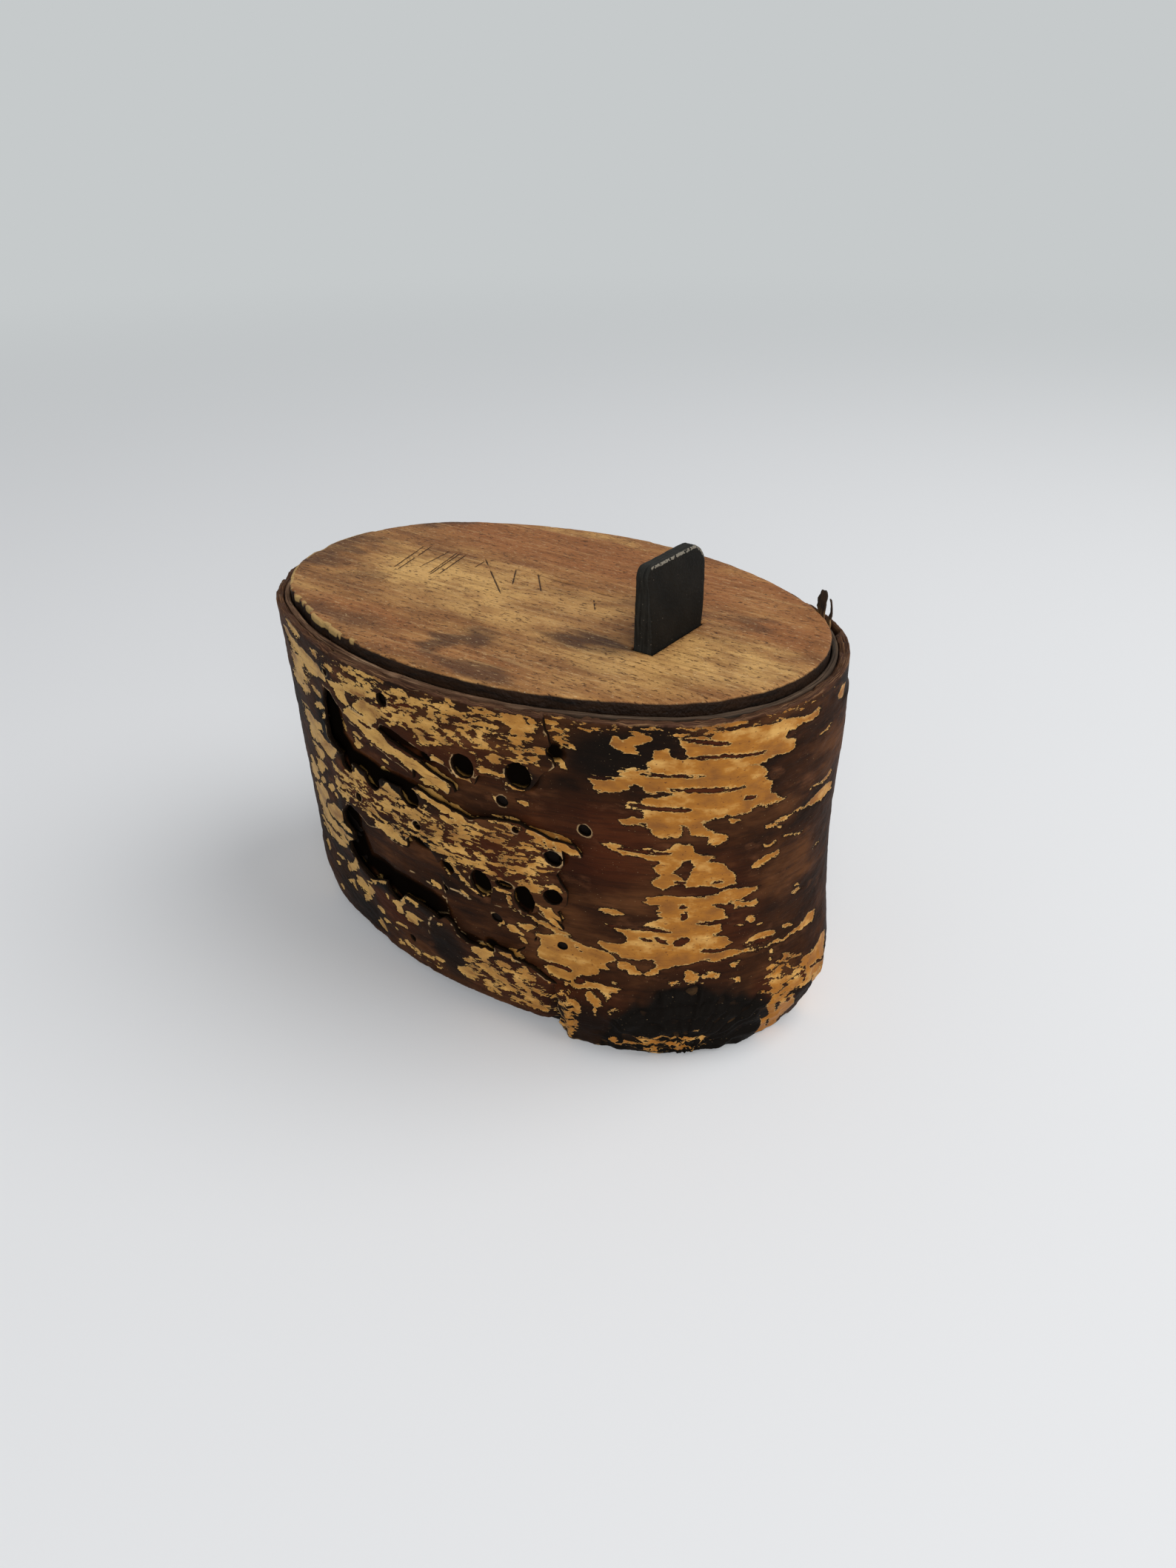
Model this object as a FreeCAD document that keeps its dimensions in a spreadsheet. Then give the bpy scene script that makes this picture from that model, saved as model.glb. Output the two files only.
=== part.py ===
import FreeCAD, Part
import math
import os

import Sketcher

# Oval birch-bark box. A liner ring of bark stands inside one outer wrap of bark, whose two ends are locked
# at the front: the left end's bands lie over the right end's tongues. A wooden board plugs the foot, held
# by wooden pegs, and a wooden lid board drops into the mouth, with a leather tab through it. Millimetres,
# +Z up, origin on the table under the middle of the box, +X towards the tab.

doc = FreeCAD.newDocument("bark_box")

# ---------------------------------------------------------------- driving dimensions
DIMENSIONS = {
    # The wall's outside is a four-arc oval at four heights, with straight sides between them. The foot
    # draws in.
    "foot_height": 0.0,
    "foot_half_length": 69.8,
    "foot_half_width": 39.6,
    "foot_end_radius": 33.2,
    "foot_shift_x": -0.65,
    "foot_shift_y": -0.4,
    "hip_height": 12.0,
    "hip_half_length": 73.0,
    "hip_half_width": 42.1,
    "hip_end_radius": 35.6,
    "hip_shift_x": 0.55,
    "hip_shift_y": -0.6,
    "waist_height": 30.0,
    "waist_half_length": 72.9,
    "waist_half_width": 47.2,
    "waist_end_radius": 36.3,
    "waist_shift_x": -1.85,
    "waist_shift_y": 0.8,
    "rim_height": 86.8,
    "rim_half_length": 72.7,
    "rim_half_width": 49.8,
    "rim_end_radius": 41.0,
    "rim_shift_x": -2.15,
    "rim_shift_y": 0.0,
    # Lengths along the rim that places on the wall are counted by: the front arc, an end arc, and how far
    # places at the front slip back at the rim, fading out by the middle of the right end.
    "front_along": 111.96,
    "end_along": 86.31,
    "rim_slip": 1.5,
    "slip_end": 99.0,
    # Sheets, from the outside in.
    "wrap_thickness": 1.3,
    "bark_gap": 0.9,
    "liner_thickness": 1.35,
    "liner_above_rim": 0.4,
    "seam_gap": 0.5,
    "foot_lift": 2.4,
    # Tongues of the wrap's right end, lying in the gap behind the bands.
    "tongue_overlap": 0.1,
    "tongue_clearance": 0.1,
    # Swellings of the wrap: the burl over an old knot, its shoulder, and the right end's hip.
    "burl_along": 52.0,
    "burl_height": 9.0,
    "burl_depth": 6.0,
    "burl_rise": 2.6,
    "burl_reach": 23.5,
    "burl_tall": 17.0,
    "shoulder_along": 76.0,
    "shoulder_height": 10.0,
    "shoulder_depth": 8.0,
    "shoulder_rise": 2.0,
    "shoulder_reach": 15.4,
    "shoulder_tall": 18.0,
    "swell_along": 98.3,
    "swell_height": 14.0,
    "swell_depth": 8.0,
    "swell_rise": 1.6,
    "swell_reach": 15.2,
    "swell_tall": 19.0,
    # Boards.
    "bottom_thickness": 12.0,
    "bottom_clearance": 0.05,
    "lid_top": 89.8,
    "lid_thickness": 9.5,
    "lid_clearance": 0.15,
    "lid_edge_round": 0.7,
    "board_edge_chamfer": 0.8,
    # Leather tab and its peg.
    "tab_x": 33.7,
    "tab_near_y": -13.4,
    "tab_far_y": 7.1,
    "tab_flare": 2.1,
    "tab_thickness": 5.0,
    "tab_above_lid": 18.4,
    "tab_below_lid": 8.5,
    "tab_near_round": 2.0,
    "tab_far_round": 5.5,
    "tab_edge_round": 0.7,
    "slot_clearance": 0.1,
    "pin_radius": 1.9,
    "pin_length": 24.0,
    "pin_drop": 1.95,
    "pin_chamfer": 0.4,
    # The cuts of the lock, in the front of the wrap.
    "punch_radius": 1.25,
    "bite_radius": 2.1,
    "gouge_radius": 2.8,
    # Bottom pegs and the strips at the rim.
    "peg_radius": 1.2,
    "peg_length": 13.0,
    "peg_height": 7.5,
    "peg_clearance": 0.03,
    "strip_thickness": 0.45,
    "strip_below_rim": 4.0,
    "wide_strip_along": 137.8,
    "wide_strip_width": 3.2,
    "wide_strip_rise": 6.6,
    "thin_strip_along": 133.8,
    "thin_strip_width": 1.2,
}

sizes = doc.addObject("Spreadsheet::Sheet", "Sizes")
for row, (alias, value) in enumerate(DIMENSIONS.items(), start=1):
    sizes.set(f"A{row}", alias)
    sizes.set(f"B{row}", str(value))
    sizes.setAlias(f"B{row}", alias)
doc.recompute()


def size(alias):
    return float(sizes.get(alias))


# ---------------------------------------------------------------- the wall as a surface
# A point of the wall is told by how far along the rim it lies, from the middle of the front and positive
# towards +X, and by its height. Lower down it lies at the same share of the same arc of the oval.
UP = FreeCAD.Vector(0, 0, 1)
ABOVE_RIM = "Sizes.rim_height + 1"
LINER_INSIDE = "Sizes.wrap_thickness + Sizes.bark_gap + Sizes.liner_thickness"
LID_BOTTOM = "Sizes.lid_top - Sizes.lid_thickness"
LEVELS = ("foot", "hip", "waist", "rim")
ARCS = ("front", "right", "back", "left")


def oval_arcs(level):
    """The four arcs of the oval at a level, in turn: centre x, centre y, radius, first and last heading."""
    half_length, half_width = size(f"{level}_half_length"), size(f"{level}_half_width")
    end_radius = size(f"{level}_end_radius")
    reach = half_length - end_radius
    side_radius = (reach ** 2 + half_width ** 2 - end_radius ** 2) / (2 * (half_width - end_radius))
    drop = side_radius - half_width
    turn = math.atan2(drop, reach)
    x, y = size(f"{level}_shift_x"), size(f"{level}_shift_y")
    return {
        "front": (x, y + drop, side_radius, -math.pi + turn, -turn),
        "right": (x + reach, y, end_radius, -turn, turn),
        "back": (x, y - drop, side_radius, turn, math.pi - turn),
        "left": (x - reach, y, end_radius, math.pi - turn, math.pi + turn),
    }


def arc_share(along, z):
    """The arc that a place on the wall falls on, and its share of that arc."""
    waist, rim = size("waist_height"), size("rim_height")
    risen = min(1, max(0, (z - waist) / (rim - waist)))
    slip = size("rim_slip") * risen * min(1, max(0, 1 - along / size("slip_end")))
    lengths = (size("front_along"), size("end_along")) * 2
    rest = (along - slip + lengths[0] / 2) % sum(lengths)
    for name, length in zip(ARCS, lengths):
        if rest <= length:
            return name, rest / length
        rest -= length


def wall_point(along, z, inset=0.0):
    """The point of the wall there, set in by inset, and the heading of the outward direction in degrees."""
    arc, share = arc_share(along, z)
    lower = max((level for level in LEVELS[:-1] if z >= size(f"{level}_height")),
                key=lambda level: size(f"{level}_height"), default="foot")
    upper = LEVELS[LEVELS.index(lower) + 1]
    mix = (z - size(f"{lower}_height")) / (size(f"{upper}_height") - size(f"{lower}_height"))
    spots = []
    for level in (lower, upper):
        centre_x, centre_y, radius, start, end = oval_arcs(level)[arc]
        heading = start + (end - start) * share
        spots.append((centre_x + (radius - inset) * math.cos(heading),
                      centre_y + (radius - inset) * math.sin(heading), heading))
    x, y, heading = (low + (high - low) * mix for low, high in zip(*spots))
    return FreeCAD.Vector(x, y, z), math.degrees(heading)


def front_spot(along, z):
    """Where a point of the wall is seen from the front: (x, z)."""
    return wall_point(along, z)[0].x, z


# ---------------------------------------------------------------- small helpers
def line(start, end):
    return Part.LineSegment(FreeCAD.Vector(*start, 0), FreeCAD.Vector(*end, 0))


def new_body(label):
    body = doc.addObject("PartDesign::Body", label)
    body.Label = label
    return body


def origin_plane(body, role):
    return next(item for item in body.Origin.OriginFeatures if item.Role == role)


def new_sketch(body, name, role="XY_Plane"):
    sketch = body.newObject("Sketcher::SketchObject", name)
    sketch.AttachmentSupport = [(origin_plane(body, role), "")]
    sketch.MapMode = "FlatFace"
    return sketch


def add_polygon(sketch, corners):
    """A closed outline through corners, as straight lines joined end to end."""
    first = sketch.GeometryCount
    count = len(corners)
    for here, there in zip(corners, corners[1:] + corners[:1]):
        sketch.addGeometry(line(here, there), False)
    for side in range(count):
        joint = Sketcher.Constraint("Coincident", first + side, 2, first + (side + 1) % count, 1)
        sketch.addConstraint(joint)


def add_circles(sketch, centres, radius_alias):
    for x, z in centres:
        circle = Part.Circle(FreeCAD.Vector(x, z, 0), UP, size(radius_alias))
        index = sketch.addGeometry(circle, False)
        datum = sketch.addConstraint(Sketcher.Constraint("Radius", index, size(radius_alias)))
        sketch.setExpression(f"Constraints[{datum}]", f"Sizes.{radius_alias}")


def cut_sketch(body, sketch, reversed_=False, midplane=False):
    """Cuts a sketch through the body, one way from its plane, or both ways with midplane set."""
    pocket = body.newObject("PartDesign::Pocket", sketch.Name + "_cut")
    pocket.Profile = sketch
    pocket.Type = "ThroughAll"
    pocket.Reversed = reversed_
    pocket.Midplane = midplane
    return pocket


def front_pocket(body, sketch):
    """Cuts a sketch on the XZ plane through the front wall alone: from the middle of the box towards -Y."""
    return cut_sketch(body, sketch, reversed_=True)


# ---------------------------------------------------------------- ovals and lofts
def level_size(name, z, lower):
    """The expression of a size of the wall at height z, from the level named lower and the next one up."""
    upper = LEVELS[LEVELS.index(lower) + 1]
    share = f"(({z}) - Sizes.{lower}_height) / (Sizes.{upper}_height - Sizes.{lower}_height)"
    return f"(Sizes.{lower}_{name} + (Sizes.{upper}_{name} - Sizes.{lower}_{name}) * {share})"


def oval_sketch(body, name, z, inset, lower):
    """A four-arc oval at height z, set in from the wall's outside by inset: two ends and two long sides."""
    sketch = new_sketch(body, name)
    half_length, half_width, end_radius = 72.0, 45.0, 38.0
    reach = half_length - end_radius
    side_radius = (reach ** 2 + half_width ** 2 - end_radius ** 2) / (2 * (half_width - end_radius))
    drop = side_radius - half_width
    turn = math.atan2(drop, reach)
    arcs = [
        (FreeCAD.Vector(reach, 0, 0), end_radius, -turn, turn),
        (FreeCAD.Vector(0, -drop, 0), side_radius, turn, math.pi - turn),
        (FreeCAD.Vector(-reach, 0, 0), end_radius, math.pi - turn, math.pi + turn),
        (FreeCAD.Vector(0, drop, 0), side_radius, math.pi + turn, 2 * math.pi - turn),
    ]
    for centre, radius, start, end in arcs:
        circle = Part.Circle(centre, UP, radius)
        sketch.addGeometry(Part.ArcOfCircle(circle, start, end), False)
    for arc in range(4):
        sketch.addConstraint(Sketcher.Constraint("Tangent", arc, 2, (arc + 1) % 4, 1))
    sketch.addConstraint(Sketcher.Constraint("PointOnObject", 0, 3, -1))
    sketch.addConstraint(Sketcher.Constraint("Symmetric", 0, 3, 2, 3, -1, 1))
    sketch.addConstraint(Sketcher.Constraint("Equal", 0, 2))
    sketch.addConstraint(Sketcher.Constraint("Equal", 1, 3))
    corner_datum = sketch.addConstraint(Sketcher.Constraint("Radius", 0, end_radius))
    reach_datum = sketch.addConstraint(Sketcher.Constraint("DistanceX", -1, 1, 0, 3, reach))
    side_datum = sketch.addConstraint(Sketcher.Constraint("Radius", 1, side_radius))
    long_half = f"({level_size('half_length', z, lower)} - ({inset}))"
    short_half = f"({level_size('half_width', z, lower)} - ({inset}))"
    corner = f"({level_size('end_radius', z, lower)} - ({inset}))"
    side = f"((({long_half} - {corner})^2 + {short_half}^2 - {corner}^2) / (2 * ({short_half} - {corner})))"
    sketch.setExpression(f"Constraints[{corner_datum}]", corner)
    sketch.setExpression(f"Constraints[{reach_datum}]", f"{long_half} - {corner}")
    sketch.setExpression(f"Constraints[{side_datum}]", side)
    sketch.setExpression("AttachmentOffset.Base.x", level_size("shift_x", z, lower))
    sketch.setExpression("AttachmentOffset.Base.y", level_size("shift_y", z, lower))
    sketch.setExpression("AttachmentOffset.Base.z", z)
    return sketch


def loft(body, kind, name, sections):
    """A straight-sided loft in body through ovals given as (height, inset, the level below)."""
    ovals = [oval_sketch(body, f"{name}_oval_{index}", *section) for index, section in enumerate(sections)]
    feature = body.newObject(kind, name)
    feature.Profile = ovals[0]
    feature.Sections = ovals[1:]
    feature.Ruled = True
    return feature


def full_height(start, top, inset):
    """The sections of a loft from the height start, at the foot, up to the height top, past the waist."""
    return [(start, inset, "foot"), ("Sizes.hip_height", inset, "foot"),
            ("Sizes.waist_height", inset, "hip"), (top, inset, "waist")]


# ---------------------------------------------------------------- pegs of the bottom board
PEG_PLACES = [-9.8, -4.2, 100.0, 139.0, 192.0, 213.0, 290.0, 323.0]


def peg_placement(along):
    """The place of a peg's cylinder: it starts at the wall's outside and runs level into the board."""
    point, heading = wall_point(along, size("peg_height"))
    inward = FreeCAD.Vector(-math.cos(math.radians(heading)), -math.sin(math.radians(heading)), 0)
    return FreeCAD.Placement(point, FreeCAD.Rotation(UP, inward))


def bore_for_pegs(body):
    for number, along in enumerate(PEG_PLACES, start=1):
        bore = body.newObject("PartDesign::SubtractiveCylinder", f"{body.Label}_bore_{number}")
        bore.AttachmentSupport = [(origin_plane(body, "XY_Plane"), "")]
        bore.MapMode = "FlatFace"
        place = peg_placement(along)
        backwards = place.Rotation.multVec(FreeCAD.Vector(0, 0, -4))
        bore.AttachmentOffset = FreeCAD.Placement(place.Base + backwards, place.Rotation)
        bore.setExpression("Radius", "Sizes.peg_radius + Sizes.peg_clearance")
        bore.setExpression("Height", "Sizes.peg_length + 4")


def make_pegs():
    pegs = []
    for number, along in enumerate(PEG_PLACES, start=1):
        peg = doc.addObject("Part::Cylinder", f"peg_{number}")
        peg.Placement = peg_placement(along)
        peg.setExpression("Radius", "Sizes.peg_radius")
        peg.setExpression("Height", "Sizes.peg_length")
        pegs.append(peg)
    group = doc.addObject("Part::Compound", "bottom_pegs")
    group.Links = pegs
    group.Label = "bottom_pegs"
    return group


# ---------------------------------------------------------------- the wrap and its lock The two ends of the
# wrap meet at the front. The left end is cut into three bands, top, middle and bottom, over two tongues of
# the right end, which show in the windows between the bands. Points are (along the rim, height).
UPPER_WINDOW = [(-30.5, 63.0), (-30.0, 70.0), (-28.0, 75.4), (-25.5, 76.8), (-22.0, 74.8), (-19.0, 71.6),
                (-13.0, 69.2), (-3.5, 66.7), (0.6, 64.0), (0.0, 61.5), (-3.4, 59.4), (-10.0, 59.4),
                (-17.0, 59.6), (-24.5, 60.2)]
LOWER_WINDOW = [(-30.3, 38.2), (-29.8, 40.6), (-27.0, 44.0), (-23.8, 46.1), (-20.5, 45.2), (-17.0, 43.4),
                (-13.0, 44.6), (-8.8, 42.8), (-4.6, 43.3), (-4.0, 45.6), (-1.0, 47.9), (2.0, 46.6),
                (4.6, 44.2), (5.2, 41.8), (3.7, 36.0), (3.2, 26.8), (-9.5, 27.4), (-18.0, 27.2),
                (-25.0, 26.6), (-28.6, 28.2), (-29.0, 33.4), (-25.8, 35.3), (-25.6, 36.8)]
UPPER_SLOT = [(-7.6, 72.6), (-6.6, 74.9), (-3.0, 74.8), (2.5, 73.2), (6.4, 71.4), (5.2, 69.6), (-1.0, 71.0)]
TOP_BAND_EDGE = [(35.2, 88.0), (35.5, 79.5), (34.2, 75.2), (31.0, 72.4), (27.4, 69.2), (22.0, 70.3),
                 (16.0, 68.8), (11.0, 70.3), (6.6, 70.7)]
MIDDLE_BAND_EDGE = [(39.2, 54.0), (35.6, 54.8), (34.9, 51.0), (33.3, 47.6), (34.7, 42.0), (32.6, 37.8),
                    (25.0, 36.0), (20.4, 38.8), (15.4, 37.3), (10.4, 39.4), (4.6, 38.3)]
BOTTOM_BAND_EDGE = [(-9.2, 15.0), (-7.0, 20.0), (-2.5, 24.4), (1.6, 25.9), (4.0, 24.9), (5.4, 21.8),
                    (8.2, 20.5), (11.4, 21.4), (15.0, 22.4), (20.0, 20.6), (28.0, 18.6), (33.6, 15.6),
                    (35.0, 10.0), (35.0, -1.0)]
GOUGES = [(16.0, 71.2), (27.3, 72.4), (15.3, 41.0), (25.0, 39.2)]
BITES = [(-23.4, 58.4), (-13.4, 58.0), (-0.6, 58.4), (-29.6, 38.6), (-28.8, 30.6), (-15.4, 26.2),
         (6.8, 41.2), (21.2, 42.6), (31.6, 42.0), (33.4, 53.0)]
PUNCHES = [(23.0, 64.0), (40.6, 60.6), (6.4, 64.2), (16.3, 31.3), (31.7, 27.2), (-5.5, 81.0), (-26.0, 81.0),
           (-18.6, 50.4), (-2.0, 50.3), (3.5, 34.8), (36.0, 78.2), (25.8, 58.2), (-15.8, 11.2)]
UPPER_TONGUE = [(39.0, 56.5), (-30.0, 56.5), (-33.5, 60.0), (-33.5, 74.5), (-30.0, 78.0), (39.0, 78.0)]
LOWER_TONGUE = [(39.0, 24.5), (-29.0, 24.5), (-32.5, 28.0), (-32.5, 46.0), (-29.0, 49.5), (39.0, 49.5)]


def thin_line(points, width):
    """The closed outline of a cut of the given width along a line of points."""
    left, right = [], []
    for index, (x, z) in enumerate(points):
        before = points[max(index - 1, 0)]
        after = points[min(index + 1, len(points) - 1)]
        run = math.hypot(after[0] - before[0], after[1] - before[1])
        step_x = -(after[1] - before[1]) / run * width / 2
        step_z = (after[0] - before[0]) / run * width / 2
        left.append((x + step_x, z + step_z))
        right.append((x - step_x, z - step_z))
    return left + right[::-1]


def add_swelling(body, name):
    """A low dome on the wall's outside: an ellipsoid whose middle lies inside the wall."""
    depth = size(f"{name}_depth")
    centre, heading = wall_point(size(f"{name}_along"), size(f"{name}_height"), depth)
    dome = body.newObject("PartDesign::AdditiveEllipsoid", name)
    dome.AttachmentSupport = [(origin_plane(body, "XY_Plane"), "")]
    dome.MapMode = "FlatFace"
    dome.AttachmentOffset = FreeCAD.Placement(centre, FreeCAD.Rotation(UP, heading))
    dome.setExpression("Radius2", f"Sizes.{name}_depth + Sizes.{name}_rise")
    dome.setExpression("Radius3", f"Sizes.{name}_reach")
    dome.setExpression("Radius1", f"Sizes.{name}_tall")
    return dome


def make_tongues():
    """The two tongues, cut from a ring that fills the gap between wrap and liner, a little into the wrap."""
    body = new_body("tongues")
    outside = "Sizes.wrap_thickness - Sizes.tongue_overlap"
    inside = "Sizes.wrap_thickness + Sizes.bark_gap - Sizes.tongue_clearance"
    loft(body, "PartDesign::AdditiveLoft", "tongue_blank", full_height("0", "Sizes.rim_height", outside))
    around = new_sketch(body, "around_tongues", "XZ_Plane")
    add_polygon(around, [(-90.0, -2.0), (90.0, -2.0), (90.0, 90.0), (-90.0, 90.0)])
    for outline in (UPPER_TONGUE, LOWER_TONGUE):
        add_polygon(around, [front_spot(*corner) for corner in outline])
    cut_sketch(body, around, midplane=True)
    back = new_sketch(body, "back_half")
    add_polygon(back, [(-90.0, -15.0), (90.0, -15.0), (90.0, 90.0), (-90.0, 90.0)])
    cut_sketch(body, back, midplane=True)
    loft(body, "PartDesign::SubtractiveLoft", "tongue_core", full_height("-1", ABOVE_RIM, inside))
    return body


def make_outer_bark():
    body = new_body("outer_bark")
    loft(body, "PartDesign::AdditiveLoft", "wrap_outside", full_height("0", "Sizes.rim_height", "0"))
    for name in ("burl", "shoulder", "swell"):
        add_swelling(body, name)
    loft(body, "PartDesign::SubtractiveLoft", "wrap_inside",
         full_height("-1", ABOVE_RIM, "Sizes.wrap_thickness"))
    # The left end of the wrap stops short of the table. The right end, past the bottom band, reaches it.
    foot = new_sketch(body, "foot", "XZ_Plane")
    step = front_spot(*BOTTOM_BAND_EDGE[-2])[0]
    add_polygon(foot, [(-90.0, -30.0), (90.0, -30.0), (90.0, 0.0), (step, 0.0), (step, size("foot_lift")),
                       (-90.0, size("foot_lift"))])
    cut_sketch(body, foot, midplane=True)
    windows = new_sketch(body, "windows", "XZ_Plane")
    for outline in (UPPER_WINDOW, LOWER_WINDOW, UPPER_SLOT):
        add_polygon(windows, [front_spot(*corner) for corner in outline])
    front_pocket(body, windows)
    for name, line in (("top_edge", TOP_BAND_EDGE), ("middle_edge", MIDDLE_BAND_EDGE),
                       ("bottom_edge", BOTTOM_BAND_EDGE)):
        edge = new_sketch(body, name, "XZ_Plane")
        add_polygon(edge, thin_line([front_spot(*corner) for corner in line], size("seam_gap")))
        front_pocket(body, edge)
    for name, centres, radius in (("gouges", GOUGES, "gouge_radius"), ("bites", BITES, "bite_radius")):
        marks = new_sketch(body, name, "XZ_Plane")
        add_circles(marks, [front_spot(*centre) for centre in centres], radius)
        front_pocket(body, marks)
    joined = body.newObject("PartDesign::Boolean", "wrap_with_tongues")
    joined.Type = "Fuse"
    joined.Group = [make_tongues()]
    holes = new_sketch(body, "punches", "XZ_Plane")
    add_circles(holes, [front_spot(*centre) for centre in PUNCHES], "punch_radius")
    front_pocket(body, holes)
    bore_for_pegs(body)
    return body


def make_inner_bark():
    body = new_body("inner_bark")
    top = "Sizes.rim_height + Sizes.liner_above_rim"
    loft(body, "PartDesign::AdditiveLoft", "liner_outside",
         full_height("0", top, "Sizes.wrap_thickness + Sizes.bark_gap"))
    loft(body, "PartDesign::SubtractiveLoft", "liner_inside", full_height("-1", f"{top} + 1", LINER_INSIDE))
    # The liner's own butt seam, at the back.
    seam = new_sketch(body, "liner_seam", "XZ_Plane")
    half = size("seam_gap") / 2
    add_polygon(seam, [(-half, -1.0), (half, -1.0), (half, 90.0), (-half, 90.0)])
    cut_sketch(body, seam)
    bore_for_pegs(body)
    return body


# ---------------------------------------------------------------- the boards
def make_bottom_board():
    body = new_body("bottom_board")
    inset = f"{LINER_INSIDE} + Sizes.bottom_clearance"
    cut_back = f"{inset} + Sizes.board_edge_chamfer"
    loft(body, "PartDesign::AdditiveLoft", "bottom_blank",
         [("0", cut_back, "foot"), ("Sizes.board_edge_chamfer", inset, "foot"),
          ("Sizes.bottom_thickness", inset, "foot")])
    bore_for_pegs(body)
    return body


def make_lid_board():
    body = new_body("lid_board")
    inset = f"{LINER_INSIDE} + Sizes.lid_clearance"
    worn = "Sizes.lid_edge_round"
    loft(body, "PartDesign::AdditiveLoft", "lid_blank",
         [(LID_BOTTOM, inset, "waist"), (f"Sizes.lid_top - {worn}", inset, "waist"),
          (f"Sizes.lid_top - {worn} * 0.3", f"{inset} + {worn} * 0.3", "waist"),
          ("Sizes.lid_top", f"{inset} + {worn}", "waist")])
    slot = body.newObject("PartDesign::SubtractiveBox", "tab_slot")
    slot.AttachmentSupport = [(origin_plane(body, "XY_Plane"), "")]
    slot.MapMode = "FlatFace"
    slot.setExpression("Length", "Sizes.tab_thickness + 2 * Sizes.slot_clearance")
    slot.setExpression("Width", "Sizes.tab_far_y - Sizes.tab_near_y + 2 * Sizes.slot_clearance")
    slot.setExpression("Height", "Sizes.lid_thickness + 2")
    slot.setExpression("AttachmentOffset.Base.x",
                       "Sizes.tab_x - Sizes.tab_thickness / 2 - Sizes.slot_clearance")
    slot.setExpression("AttachmentOffset.Base.y", "Sizes.tab_near_y - Sizes.slot_clearance")
    slot.setExpression("AttachmentOffset.Base.z", f"{LID_BOTTOM} - 1")
    return body


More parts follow.
